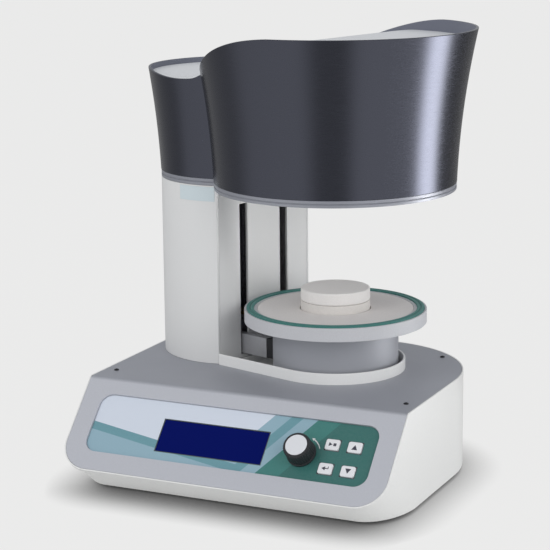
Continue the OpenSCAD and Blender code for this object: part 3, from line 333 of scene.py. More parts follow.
class Recipe:
    """A material's node tree while it is being built."""

    def __init__(self, name: str) -> None:
        """Start an empty material with one main shader."""
        self.material = bpy.data.materials.new(name)
        self.material.use_nodes = True
        self.tree = self.material.node_tree
        self.tree.nodes.clear()
        self.shader = self.add("ShaderNodeBsdfPrincipled")
        output = self.add("ShaderNodeOutputMaterial")
        self.wire(self.shader.outputs[0], output.inputs[0])
        self.place = self.add("ShaderNodeTexCoord").outputs["Object"]

    def add(self, kind: str, **settings: object) -> bpy.types.Node:
        """Add a node and set its properties."""
        made = self.tree.nodes.new(kind)
        for key, value in settings.items():
            setattr(made, key, value)
        return made

    def wire(self, source: Socket, target: Socket) -> None:
        """Join two sockets."""
        self.tree.links.new(source, target)

    def set(self, **values: object) -> None:
        """Set the main shader's own sockets, with spaces written as underscores."""
        for key, value in values.items():
            self.shader.inputs[key.replace("_", " ")].default_value = value

    def sum(self, operation: str, first: object, second: object = 0.0, third: object = 0.0) -> Socket:
        """Add a math node on sockets or numbers and give its result."""
        made = self.add("ShaderNodeMath", operation=operation)
        for slot, value in enumerate((first, second, third)):
            if isinstance(value, Socket):
                self.wire(value, made.inputs[slot])
            else:
                made.inputs[slot].default_value = value
        return made.outputs[0]

    def along(self, direction: Sequence[float], origin: Sequence[float] = (0, 0, 0)) -> Socket:
        """Give the distance of a point from an origin along a direction."""
        away = self.add("ShaderNodeVectorMath", operation="SUBTRACT")
        self.wire(self.place, away.inputs[0])
        away.inputs[1].default_value = origin
        dot = self.add("ShaderNodeVectorMath", operation="DOT_PRODUCT")
        self.wire(away.outputs[0], dot.inputs[0])
        dot.inputs[1].default_value = direction
        return dot.outputs["Value"]

    def grain(self, scale: float, stretch: Sequence[float] = (1, 1, 1), detail: float = 3.0) -> Socket:
        """Give a noise value, stretched along the object's axes."""
        mapping = self.add("ShaderNodeMapping")
        self.wire(self.place, mapping.inputs["Vector"])
        mapping.inputs["Scale"].default_value = stretch
        noise = self.add("ShaderNodeTexNoise")
        self.wire(mapping.outputs[0], noise.inputs["Vector"])
        noise.inputs["Scale"].default_value = scale
        noise.inputs["Detail"].default_value = detail
        return noise.outputs["Fac"]

    def spread(self, value: Socket, low: float, high: float) -> Socket:
        """Map a noise value to a range."""
        made = self.add("ShaderNodeMapRange")
        self.wire(value, made.inputs["Value"])
        made.inputs["From Min"].default_value, made.inputs["From Max"].default_value = NOISE_RANGE
        made.inputs["To Min"].default_value = low
        made.inputs["To Max"].default_value = high
        return made.outputs[0]

    def blend(self, share: Socket, first: object, second: object) -> Socket:
        """Mix two colours, each given as a colour or a socket."""
        made = self.add("ShaderNodeMix", data_type="RGBA")
        self.wire(share, made.inputs["Factor"])
        for name, value in (("A", first), ("B", second)):
            target = [i for i in made.inputs if i.name == name and i.type == "RGBA"][0]
            if isinstance(value, Socket):
                self.wire(value, target)
            else:
                target.default_value = (*value, 1)
        return [o for o in made.outputs if o.type == "RGBA"][0]

    def relief(self, height: Socket, distance: float, strength: float) -> None:
        """Let a value raise and sink the surface a little."""
        bump = self.add("ShaderNodeBump")
        self.wire(height, bump.inputs["Height"])
        bump.inputs["Distance"].default_value = distance
        bump.inputs["Strength"].default_value = strength
        self.wire(bump.outputs[0], self.shader.inputs["Normal"])

    def away(self, value: Socket, middle: float) -> Socket:
        """Give how far a value is from a middle."""
        return self.sum("ABSOLUTE", self.sum("SUBTRACT", value, middle))

    def mottle(self, value: Socket, colour: Colour, contrast: float) -> Socket:
        """Vary a colour's lightness with a noise value."""
        darker, lighter = shade(colour, 1 - contrast), shade(colour, 1 + contrast)
        return self.blend(self.spread(value, 0.0, 1.0), darker, lighter)

    def paint(self, tint: Socket) -> None:
        """Give the main shader its colour."""
        self.wire(tint, self.shader.inputs["Base Color"])

    def roughen(self, value: Socket, low: float, high: float) -> None:
        """Vary the main shader's roughness with a noise value."""
        self.wire(self.spread(value, low, high), self.shader.inputs["Roughness"])


def shade(colour: Colour, factor: float) -> Colour:
    """Make a colour lighter or darker."""
    return tuple(min(1.0, c * factor) for c in colour)


@dataclass(frozen=True)
class Coated:
    """A painted, moulded or cast surface with a fine grain, and if given a second colour above a height,
    which paints shade on the cover's deck.
    """

    name: str
    colour: Colour
    roughness: float
    metallic: float = 0.0
    grain_mm: float = 1.2
    contrast: float = 0.03
    relief: float = 0.15
    relief_mm: float = 0.05
    coat: float = 0.0
    coat_roughness: float = 0.12
    swing: Point = (0.93, 1.07)
    patches_per_metre: float = 14.0
    shaded_top: Colour | None = None
    shaded_top_from: float = 0.0
    shaded_top_fade: float = 2.5

    def made(self) -> bpy.types.Material:
        """Build the material."""
        recipe = Recipe(self.name)
        fine = recipe.grain(1 / (self.grain_mm * MM), detail=2.0)
        tint = recipe.mottle(fine, self.colour, self.contrast)
        # Above the height the colour turns to the second one; on the cover it is darker, a painted shade on
        # the deck.
        if self.shaded_top is not None:
            climb = recipe.along((0, 0, 1), (0, 0, self.shaded_top_from * MM))
            climb = recipe.sum("MULTIPLY", climb, 1 / (self.shaded_top_fade * MM))
            share = recipe.sum("MINIMUM", recipe.sum("MAXIMUM", climb, 0.0), 1.0)
            tint = recipe.blend(share, tint, recipe.mottle(fine, self.shaded_top, 2 * self.contrast))
        recipe.paint(tint)
        low, high = self.swing
        patches = recipe.grain(self.patches_per_metre, detail=2.0)
        recipe.roughen(patches, self.roughness * low, self.roughness * high)
        recipe.set(Metallic=self.metallic, Coat_Weight=self.coat, Coat_Roughness=self.coat_roughness)
        recipe.relief(fine, self.relief_mm * MM, self.relief)
        return recipe.material


@dataclass(frozen=True)
class Brushed:
    """Metal with brushing lines that run along two axes and change fast along the third."""

    name: str
    colour: Colour
    roughness: float
    lines: tuple[float, float, float] = (0.02, 0.02, 1.0)
    metallic: float = 1.0
    line_mm: float = 0.6
    contrast: float = 0.06
    relief: float = 0.12
    relief_mm: float = 0.02
    swing: Point = (0.85, 1.15)

    def made(self) -> bpy.types.Material:
        """Build the material."""
        recipe = Recipe(self.name)
        lines = recipe.grain(1 / (self.line_mm * MM), self.lines)
        recipe.paint(recipe.mottle(lines, self.colour, self.contrast))
        low, high = self.swing
        recipe.roughen(lines, self.roughness * low, self.roughness * high)
        recipe.set(Metallic=self.metallic)
        recipe.relief(lines, self.relief_mm * MM, self.relief)
        return recipe.material


@dataclass(frozen=True)
class Clear:
    """Glass or quartz."""

    name: str
    colour: Colour
    clearness: float = 0.9
    refraction: float = 1.46
    roughness: Point = (0.05, 0.08)
    patches_per_metre: float = 60.0

    def made(self) -> bpy.types.Material:
        """Build the material."""
        recipe = Recipe(self.name)
        recipe.set(Base_Color=(*self.colour, 1), Transmission_Weight=self.clearness, IOR=self.refraction)
        recipe.roughen(recipe.grain(self.patches_per_metre), *self.roughness)
        return recipe.material


@dataclass(frozen=True)
class Display:
    """Dark blue display behind a clear window, with faint dot rows."""

    name: str
    colour: Colour
    dot_mm: float = 0.55
    gap_share: float = 0.14
    gap_shade: float = 0.86

    def made(self) -> bpy.types.Material:
        """Build the material."""
        recipe = Recipe(self.name)
        gaps = []
        for way in ((1, 0, 0), panel_up()):
            dots = recipe.sum("MULTIPLY", recipe.along(way), 1 / (self.dot_mm * MM))
            gaps.append(recipe.sum("LESS_THAN", recipe.sum("FRACT", dots), self.gap_share))
        tint = recipe.blend(recipe.sum("MAXIMUM", *gaps), self.colour, shade(self.colour, self.gap_shade))
        recipe.paint(tint)
        recipe.set(Roughness=0.3, Specular_IOR_Level=0.06)
        return recipe.material


@dataclass(frozen=True)
class Overlay:
    """Printed film on the panel: slanted bands from pale blue grey to dark green, and dark window borders."""

    name: str
    pale: Colour = (0.64, 0.69, 0.78)
    sky: Colour = (0.27, 0.42, 0.50)
    teal: Colour = (0.13, 0.30, 0.35)
    leaf: Colour = (0.035, 0.19, 0.17)
    deep: Colour = (0.023, 0.135, 0.12)
    edge: Colour = (0.055, 0.075, 0.085)
    speckle: Colour = (0.8, 0.85, 0.85)
    speckles_per_metre: float = 900.0
    middle: float = -57.5
    slant: float = -0.75
    lean: float = 0.16
    band_starts: tuple[float, ...] = (18.0, 38.0, 52.0, 70.0, 98.0)
    wedge_below: float = -26.0
    strip_below: float = -36.0
    display_border: float = 1.3
    key_border: float = 0.9

    def made(self) -> bpy.types.Material:
        """Build the material."""
        recipe = Recipe(self.name)
        panel = Panel()
        middle = tuple(Place.PANEL.matrix() @ Vector((0, self.middle, 0)))
        across = recipe.sum("MULTIPLY", recipe.along((1, 0, 0), middle), 1 / MM)
        up = recipe.sum("MULTIPLY", recipe.along(panel_up(), middle), 1 / MM)
        tint = self.bands(recipe, across, up)
        from_row = recipe.away(up, panel.row - self.middle)
        from_display = recipe.away(across, panel.display_x)
        tint = self.bordered(recipe, tint, (from_display, from_row), panel.display_size, self.display_border)
        from_keys = recipe.away(recipe.away(across, panel.keys_x), panel.key_pitch[0] / 2)
        from_key_row = recipe.away(from_row, panel.key_pitch[1] / 2)
        tint = self.bordered(recipe, tint, (from_keys, from_key_row), panel.key_size, self.key_border)
        fine = recipe.grain(self.speckles_per_metre)
        recipe.paint(recipe.blend(recipe.spread(fine, 0.0, 0.04), tint, self.speckle))
        recipe.set(Roughness=0.42, Coat_Weight=0.15, Coat_Roughness=0.3)
        recipe.relief(fine, 0.02 * MM, 0.1)
        return recipe.material

    def bands(self, recipe: Recipe, across: Socket, up: Socket) -> Socket:
        """Print the slanted bands, and a wedge and a strip at the lower left.

        Args:
            recipe: The material being built.
            across: Millimetres to the right of the panel's middle.
            up: Millimetres above it.

        Returns:
            The colour.
        """
        slant = recipe.sum("ADD", across, recipe.sum("MULTIPLY", up, self.slant))
        lean = recipe.sum("ADD", up, recipe.sum("MULTIPLY", across, self.lean))
        tint = self.pale
        for start, colour in zip(self.band_starts, (self.sky, self.teal, self.sky, self.leaf, self.deep)):
            tint = recipe.blend(recipe.sum("GREATER_THAN", slant, start), tint, colour)
        left = recipe.sum("LESS_THAN", slant, self.band_starts[1])
        for level, colour in ((self.wedge_below, self.teal), (self.strip_below, self.sky)):
            low = recipe.sum("LESS_THAN", lean, level)
            tint = recipe.blend(recipe.sum("MULTIPLY", low, left), tint, colour)
        return tint

    def bordered(
        self, recipe: Recipe, tint: Socket, away: Sequence[Socket], size: Point, border: float
    ) -> Socket:
        """Print a border round a window.

        Args:
            recipe: The material being built.
            tint: The colour so far.
            away: Distances from the window's middle, across and up, in millimetres.
            size: The window's size.
            border: The border's width.

        Returns:
            The colour with the border.
        """
        inside = [recipe.sum("LESS_THAN", away[side], size[side] / 2 + border) for side in (0, 1)]
        return recipe.blend(recipe.sum("MULTIPLY", *inside), tint, self.edge)


FINISHES = {
    "tub_white": Coated("white moulding", (0.81, 0.81, 0.795), 0.36, grain_mm=2.5, contrast=0.01,
                        relief=0.05, coat=0.15),
    # The deck is darker than the slope though both are one bent sheet: painted shade on the cover's top.
    "cover_grey": Coated("silver grey paint", (0.55, 0.56, 0.605), 0.46, metallic=0.25, grain_mm=0.9,
                         contrast=0.04, relief=0.1, shaded_top=(0.36, 0.37, 0.41), shaded_top_from=117.6),
    "slate": Brushed("slate blue metal", (0.080, 0.084, 0.106), 0.25, (0.05, 0.05, 1.0), contrast=0.03,
                     relief=0.03),
    "slate_inner": Coated("slate blue lining", (0.17, 0.18, 0.225), 0.45, metallic=0.2, grain_mm=1.0,
                          relief=0.04),
    "table_silver": Coated("cast table", (0.54, 0.545, 0.57), 0.6, metallic=0.1, grain_mm=1.4, relief=0.08),
    "drum_silver": Brushed("lift drum", (0.40, 0.41, 0.445), 0.58, (0.05, 0.05, 1.0), metallic=0.3,
                           contrast=0.03, relief=0.04),
    "trim_grey": Coated("satin trim", (0.32, 0.33, 0.37), 0.38, metallic=0.45, grain_mm=1.5, relief=0.05),
    "arm_grey": Coated("grey arms", (0.48, 0.485, 0.51), 0.4, metallic=0.5, contrast=0.04, relief=0.08),
    "disc_grey": Coated("fired disc", (0.72, 0.69, 0.675), 0.85, grain_mm=1.8, relief=0.25, relief_mm=0.1),
    "pedestal_cream": Coated("cream ceramic", (0.71, 0.68, 0.65), 0.8, grain_mm=1.8, contrast=0.025,
                             relief=0.2),
    "tray_cream": Coated("pale tray", (0.80, 0.775, 0.755), 0.8, grain_mm=1.6, contrast=0.02, relief=0.2),
    "cap_white": Coated("knob cap", (0.72, 0.73, 0.76), 0.35, grain_mm=0.8, contrast=0.01, relief=0.04),
    "well_white": Coated("well moulding", (0.84, 0.84, 0.83), 0.4, grain_mm=2.0, contrast=0.01, relief=0.04),
    "steel": Brushed("turned steel", (0.55, 0.56, 0.58), 0.3, (0.1, 0.1, 1.0)),
    "zinc_steel": Coated("zinc plated sheet", (0.42, 0.43, 0.45), 0.45, metallic=0.8, grain_mm=6.0,
                         contrast=0.12),
    "aluminium": Brushed("brushed aluminium", (0.60, 0.61, 0.65), 0.36, (0.03, 0.03, 1.0)),
    "black_plastic": Coated("black plastic", (0.022, 0.022, 0.025), 0.42, grain_mm=0.6, contrast=0.25,
                            relief=0.2),
    "white_plastic": Coated("white keys", (0.78, 0.78, 0.80), 0.35, grain_mm=0.8, contrast=0.01, relief=0.05),
    "overlay_film": Overlay("panel film"),
    "display_blue": Display("display", (0.0006, 0.005, 0.11)),
    "board_green": Coated("board lacquer", (0.02, 0.16, 0.07), 0.3, grain_mm=1.5, contrast=0.2),
    "column_white": Coated("light column paint", (0.74, 0.74, 0.735), 0.42, grain_mm=1.0, contrast=0.012,
                           relief=0.06),
    "seal_green": Coated("green silicone", (0.05, 0.20, 0.18), 0.5, grain_mm=0.8, contrast=0.08),
    "rubber_black": Coated("black rubber", (0.018, 0.018, 0.018), 0.7, grain_mm=0.7, contrast=0.2,
                           relief=0.2),
    "ceramic_fibre": Coated("fired ceramic", (0.66, 0.615, 0.585), 0.85, grain_mm=1.8, contrast=0.035,
                            relief=0.3, relief_mm=0.12),
    "quartz": Clear("quartz", (0.9, 0.92, 0.93)),
    "brass_metal": Brushed("machined brass", (0.60, 0.43, 0.18), 0.3, (0.2, 0.2, 1.0)),
    "copper_pipe": Brushed("drawn copper", (0.62, 0.32, 0.2), 0.28, (1.0, 1.0, 0.05)),
    "heater_wire": Coated("oxidised wire", (0.12, 0.085, 0.065), 0.6, metallic=0.6, grain_mm=0.8,
                          contrast=0.25),
    "lid_white": Coated("white lid", (0.84, 0.85, 0.87), 0.4, grain_mm=1.5, contrast=0.01, relief=0.04),
    "print_dark": Coated("dark print", (0.05, 0.05, 0.07), 0.5, grain_mm=0.5, contrast=0.05),
    "print_white": Coated("white print", (0.75, 0.78, 0.78), 0.5, grain_mm=0.5, contrast=0.02),
    "plate_blue": Coated("pale plate", (0.62, 0.70, 0.73), 0.35, grain_mm=1.0, contrast=0.01, relief=0.04),
    "shadow_black": Coated("black edging", (0.012, 0.012, 0.014), 0.6, grain_mm=0.6, contrast=0.2),
}
MATERIALS: dict[str, bpy.types.Material] = {}


def material(name: str) -> bpy.types.Material:
    """Give a finish's material, built once."""
    if name not in MATERIALS:
        MATERIALS[name] = FINISHES[name].made()
    return MATERIALS[name]


def settle(
    piece: Piece, place: Place, body: str, slot: str, nodes: Sequence[str] = (), finish: str = ""
) -> Piece:
    """Put a finished piece in the frame and on its body.

    Args:
        piece: The piece, in its place's millimetres.
        place: Where it was modelled.
        body: The moving body that it rides on.
        slot: The material slot that it takes its finish from.
        nodes: The solids that it stands for.
        finish: The finish, where it isn't the slot's own.

    Returns:
        The settled piece.
    """
    piece.data.transform(place.matrix())
    piece.matrix_world = Matrix.Identity(4)
    piece.data.materials.clear()
    piece.data.materials.append(material(finish or slot))
    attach(piece, body)
    if nodes:
        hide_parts(*nodes)
    LOG.info("%s: %d faces on %s", piece.name, len(piece.data.polygons), body)
    return piece


def refined(
    node: str, name: str, place: Place, slot: str, edge: float, segments: int = 2, angle: float = 40.0,
    body: str = "base", finish: str = "",
) -> Piece:
    """Copy a solid, round its edges and let the copy stand for it.

    Args:
        node: The solid.
        name: The new piece's name.
        place: Where it is worked on.
        slot: The material slot that it takes its finish from.
        edge: How far its edges are rounded, in millimetres.
        segments: Number of faces across each round edge.
        angle: The turn in degrees from which an edge is rounded.
        body: The moving body that it rides on.
        finish: The finish, where it isn't the slot's own.

    Returns:
        The settled piece.
    """
    piece = Bench.soften(Bench.copied(node, place, name), edge, segments, angle)
    return settle(Bench.smooth(piece), place, body, slot, [node], finish)


@dataclass
class Head:
    """The flared head: slate cover, lid and trim band."""

    drum_radius: float = 141.0
    drum_lean: float = 0.03
    drum_curve: float = 0.00052
    column_radius: float = 92.0
    column_lean: float = 0.04
    column_curve: float = 0.00045
    trim_height: float = 8.0
    rim_high: float = 515.5
    rim_dip: float = 455.0
    rim_back: float = 8.0
    wall: float = 3.0
    lid_gap: float = 0.3
    lid_thickness: float = 3.0
    lid_high: float = 501.0
    lid_low_drop: float = 6.0
    lid_clear: float = 0.6
    lid_from: float = -136.0
    lid_length: float = 24.0
    lid_fall: float = 15.0
    lid_fall_from: float = -10.0
    lid_fall_length: float = 102.0
    lid_fall_power: float = 1.3
    lid_middle: float = -50.0
    back_from: float = -250.0
    back_length: float = 100.0
    wave_from: float = -128.0
    wave_length: float = 188.0
    wave_soft: float = 0.0016
    wave_power: float = 2.25
    neck_at: float = -112.0
    cells: int = 240
    rings: int = 40
    lid_rings: int = 30
    drum_share: float = 0.64

    def radii(self, z: float) -> Point:
        """Radius of the drum and of the column part at a height."""
        rise = z - LAYOUT.head_bottom
        return (self.drum_radius + self.drum_lean * rise + self.drum_curve * rise * rise,
                self.column_radius + self.column_lean * rise + self.column_curve * rise * rise)

    def outline(self, share: float, z: float, inset: float = 0.0) -> Vector:
        """Point of the two-circle outline at a share of the way round and a height."""
        drum, column = (r - inset for r in self.radii(z))
        away = -LAYOUT.column_at
        meet = (column * column - drum * drum - away * away) / (2 * away)
        if share < self.drum_share:
            end = math.acos(meet / drum)
            angle = -end + 2 * end * share / self.drum_share
            return Vector((drum * math.cos(angle), drum * math.sin(angle), z))
        start = math.acos((meet + away) / column)
        angle = start + (math.tau - 2 * start) * (share - self.drum_share) / (1 - self.drum_share)
        return Vector((column * math.cos(angle) - away, column * math.sin(angle), z))

    @staticmethod
    def eased(value: float) -> float:
        """Smooth step from 0 to 1."""
        value = min(max(value, 0.0), 1.0)
        return value * value * (3 - 2 * value)

    def low_rim(self, along: float) -> float:
        """Height of the low part of the rim."""
        return self.rim_dip + self.rim_back * (1 - self.eased((along - self.back_from) / self.back_length))

    def rise(self, along: float) -> float:
        """Share of the wave's climb from the column to the drum."""
        share = (along - self.wave_from) / self.wave_length
        share = min((share + math.sqrt(share * share + self.wave_soft)) / 2, 1.0)
        return 1 - (1 - share) ** self.wave_power

    def rim(self, along: float) -> float:
        """Height of the wavy rim."""
        return self.low_rim(along) + (self.rim_high - self.low_rim(along)) * self.rise(along)

    def lid(self, along: float) -> float:
        """Height of the lid, which stays under the rim."""
        share = self.eased((along - self.lid_from) / self.lid_length)
        fall = max(self.lid_fall_from - along, 0) / self.lid_fall_length
        drum = self.lid_high - self.lid_fall * fall ** self.lid_fall_power
        lid = (self.low_rim(along) - self.lid_low_drop) * (1 - share) + drum * share
        return min(lid, self.rim(along) - self.lid_low_drop * self.lid_clear)

    def meeting(self, share: float, surface: Callable[[float], float], inset: float) -> Vector:
        """Point of the flared outline where it meets a wavy surface, found by repetition."""
        point = self.outline(share, self.rim_dip, inset)
        for _ in range(8):
            point = self.outline(share, surface(point.x), inset)
        return point

    def shell_point(self, share: float, up: float) -> Vector:
        """Point of the cover's outside."""
        bottom = LAYOUT.head_bottom + self.trim_height + GAP_MM
        top = self.meeting(share, self.rim, 0.0).z
        return self.outline(share, bottom + (top - bottom) * up)

    def lid_point(self, share: float, out: float) -> Vector:
        """Point of the lid's upper face."""
        edge = self.meeting(share, self.lid, self.wall + self.lid_gap)
        middle = Vector((self.lid_middle, 0.0, 0.0))
        point = middle.lerp(Vector((edge.x, edge.y, 0)), out)
        return Vector((point.x, point.y, self.lid(point.x)))

    def faces_in(self, polygon: bpy.types.MeshPolygon) -> bool:
        """Say whether a face of the cover looks inwards."""
        near = Vector((0.0 if polygon.center.x > self.neck_at else LAYOUT.column_at, 0.0, 0.0))
        away = (polygon.center - near) * Vector((1, 1, 0))
        return polygon.normal.dot(away.normalized()) < -0.3

    def build(self) -> None:
        """Build the head's pieces."""
        cover = Bench.sheet("head_cover_shell", self.cells, self.rings, self.shell_point)
        Bench.thicken(cover, self.wall)
        Bench.soften(cover, 0.7, 3, 50)
        for vertex in cover.data.vertices:
            vertex.co.z = min(vertex.co.z, self.rim_high)
        lining = [self.faces_in(polygon) for polygon in cover.data.polygons]
        settle(Bench.smooth(cover, 40), Place.TOWER, "base", "slate", ["head_cover"])
        cover.data.materials.append(material("slate_inner"))
        for polygon, inner in zip(cover.data.polygons, lining):
            polygon.material_index = int(inner)
        lid = Bench.sheet("head_lid_panel", self.cells, self.lid_rings, self.lid_point)
        Bench.thicken(lid, self.lid_thickness)
        settle(Bench.smooth(lid, 40), Place.TOWER, "base", "white_plastic", ["head_lid"], "lid_white")
        refined("trim_band", "trim_ring", Place.TOWER, "aluminium", 0.5, finish="trim_grey")


@dataclass
class Column:
    """The upright column: shell and slotted face."""

    edge: float = 0.8
    face_edge: float = 0.6

    def build(self) -> None:
        """Build the column's pieces."""
        refined("column_shell", "column_skin", Place.TOWER, "column_white", self.edge)
        refined("column_face", "column_front", Place.TOWER, "column_white", self.face_edge)


@dataclass
class Table:
    """The firing table and its lift."""

    radius: float = 107.5
    thickness: float = 15.8
    seal_in: float = 96.2
    seal_out: float = 104.8
    seal_proud: float = 1.8
    groove: float = 3.0
    disc_radius: float = 92.0
    disc_thickness: float = 10.0
    pedestal_radius: float = 40.8
    pedestal_up: float = 10.0
    tray_thickness: float = 14.7
    drum_radius: float = 74.3
    drum_wall: float = 3.0
    drum_bottom: float = 106.0
    seat_gap: float = 0.05
    disc_gap: float = 0.3
    round_sides: int = 128
    top: float = LAYOUT.table_top

    @staticmethod
    def rounded(points: Sequence[Point], radius: float, steps: int = 4) -> list[Point]:
        """Round each corner of an outline except its two ends.

        Args:
            points: The outline's corners.
            radius: The rounding's size along each side.
            steps: Number of pieces in each rounding.

        Returns:
            The outline with round corners.
        """
        made = [points[0]]
        for before, corner, after in zip(points, points[1:], points[2:]):
            arm_in = Vector(before) - Vector(corner)
            arm_out = Vector(after) - Vector(corner)
            size = min(radius, arm_in.length * 0.45, arm_out.length * 0.45)
            start = Vector(corner) + arm_in.normalized() * size
            end = Vector(corner) + arm_out.normalized() * size
            for step in range(steps + 1):
                t = step / steps
                made.append(tuple(start * (1 - t) ** 2 + Vector(corner) * 2 * t * (1 - t) + end * t * t))
        return made + [points[-1]]

    def build(self) -> None:
        """Build the table's pieces."""
        self.plate()
        self.seal()
        self.disc()
        self.pedestal_and_tray()
        self.drum()
        refined("lift_arms", "arm_pair", Place.TOWER, "aluminium", 0.7, body="lift", finish="arm_grey")
        refined("arm_spacers", "spacer_pair", Place.TOWER, "black_plastic", 0.5, body="lift")

    @staticmethod
    def lay(
        piece: Piece, slot: str, node: str, finish: str = "", angle: float = 35.0, body: str = "lift"
    ) -> None:
        """Smooth a turned piece and put it on the table."""
        settle(Bench.smooth(piece, angle), Place.TOWER, body, slot, [node], finish)

    def plate(self) -> None:
        """Model the table plate with its groove and pocket."""
        top = self.top
        bottom = top - self.thickness
        pocket = top - self.disc_thickness - GAP_MM
        floor = top - self.groove
        outside, inside = self.seal_out + self.seat_gap, self.seal_in - self.seat_gap
        outline = [(0, bottom), (self.radius, bottom), (self.radius, top), (outside, top), (outside, floor),
                   (inside, floor), (inside, top), (self.disc_radius + self.disc_gap, top),
                   (self.disc_radius + self.disc_gap, pocket), (0, pocket)]
        piece = Bench.turned("table_ring", self.rounded(outline, 0.6))
        self.lay(piece, "aluminium", "table_plate", "table_silver")

    def seal(self) -> None:
        """Model the ring seal with the furrow in its crown."""
        floor = self.top - self.groove + GAP_MM
        crown = self.top + self.seal_proud
        inside, outside = self.seal_in, self.seal_out
        outline = [(inside, floor), (outside, floor), (outside, crown - 0.6), (outside - 1.2, crown - 0.02),
                   (inside + 5.6, crown - 0.02), (inside + 4.8, crown - 1.2), (inside + 3.8, crown - 1.2),
                   (inside + 3.0, crown - 0.1), (inside + 0.6, crown - 0.1), (inside, crown - 0.9)]
        self.lay(Bench.turned("ring_seal", outline), "seal_green", "table_seal", angle=50)

    def disc(self) -> None:
        """Model the insulation disc with its two broken edges."""
        top = self.top
        low = top - self.disc_thickness
        hole = self.pedestal_radius + 1
        outline = [(hole, low), (self.disc_radius, low), (self.disc_radius, top - 0.5),
                   (self.disc_radius - 0.8, top), (self.pedestal_radius + 1.6, top), (hole, top - 0.5)]
        self.lay(Bench.turned("ceramic_disc", outline), "ceramic_fibre", "insulation_disc", "disc_grey")

    def pedestal_and_tray(self) -> None:
        """Model the pedestal and the loose tray on it."""
        low = self.top - self.disc_thickness
        height = self.top + self.pedestal_up
        radius = self.pedestal_radius
        outline = [(0, low), (radius, low), (radius, height), (0, height)]
        piece = Bench.turned("ceramic_pedestal", self.rounded(outline, 1.4), self.round_sides)
        self.lay(piece, "ceramic_fibre", "pedestal", "pedestal_cream")
        seat = height + GAP_MM
        brim = seat + self.tray_thickness
        outline = [(0, seat), (radius, seat), (radius, brim), (0, brim)]
        piece = Bench.turned("work_tray", self.rounded(outline, 2.6, 6), self.round_sides)
        self.lay(piece, "ceramic_fibre", "firing_tray", "tray_cream", body="tray")

    def drum(self) -> None:
        """Model the open lift drum under the plate."""
        rim = self.top - self.thickness - GAP_MM
        low, floor = self.drum_bottom, self.drum_bottom + self.drum_wall
        outer, inner = self.drum_radius, self.drum_radius - self.drum_wall
        outline = [(0, low), (outer, low), (outer, rim), (inner, rim), (inner, floor), (0, floor)]
        piece = Bench.turned("lift_drum_skin", self.rounded(outline, 0.8))
        self.lay(piece, "aluminium", "lift_drum", "drum_silver")


@dataclass
class Base:
    """The desk-shaped base: tub, cover, lift well and cover screws."""

    screw_spots: tuple[Point, ...] = ((183.5, 33.0), (-183.5, 33.0), (10.0, 279.0), (149.803, 239.803))
    head_radius: float = 2.9
    head_height: float = 1.6
    shank_radius: float = 1.5
    shank_length: float = 11.0
    socket_radius: float = 1.2

    def build(self) -> None:
        """Build the base's pieces."""
        refined("base_housing", "tub", Place.BASE, "tub_white", 0.9, 3, 50)
        refined("top_cover", "cover", Place.BASE, "cover_grey", 0.6, 2, 50)
        refined("lift_well", "well_tray", Place.TOWER, "tub_white", 0.8, 3, 50, finish="well_white")
        heads = [self.screw(spot) for spot in self.screw_spots]
        screws = Bench.smooth(Bench.join("cover_screw_set", heads))
        settle(screws, Place.BASE, "base", "steel", ["cover_screws"], "shadow_black")

    def screw(self, spot: Point) -> Piece:
        """Model one round-headed screw with a hexagon socket."""
        deck = LAYOUT.deck
        crown = deck + self.head_height
        low = deck - self.shank_length
        outline = [(0, low), (self.shank_radius, low), (self.shank_radius, deck), (self.head_radius, deck),
                   (self.head_radius, deck + 0.6), (self.head_radius * 0.75, crown - 0.25),
                   (self.head_radius * 0.5, crown), (0, crown)]
        head = Bench.turned("screw", outline, 32)
        socket = Bench.rod("socket", self.socket_radius, 2.0, (0, 0, crown), 6)
        Bench.cut(head, socket)
        head.data.transform(Matrix.Translation((*spot, 0)))
        return head


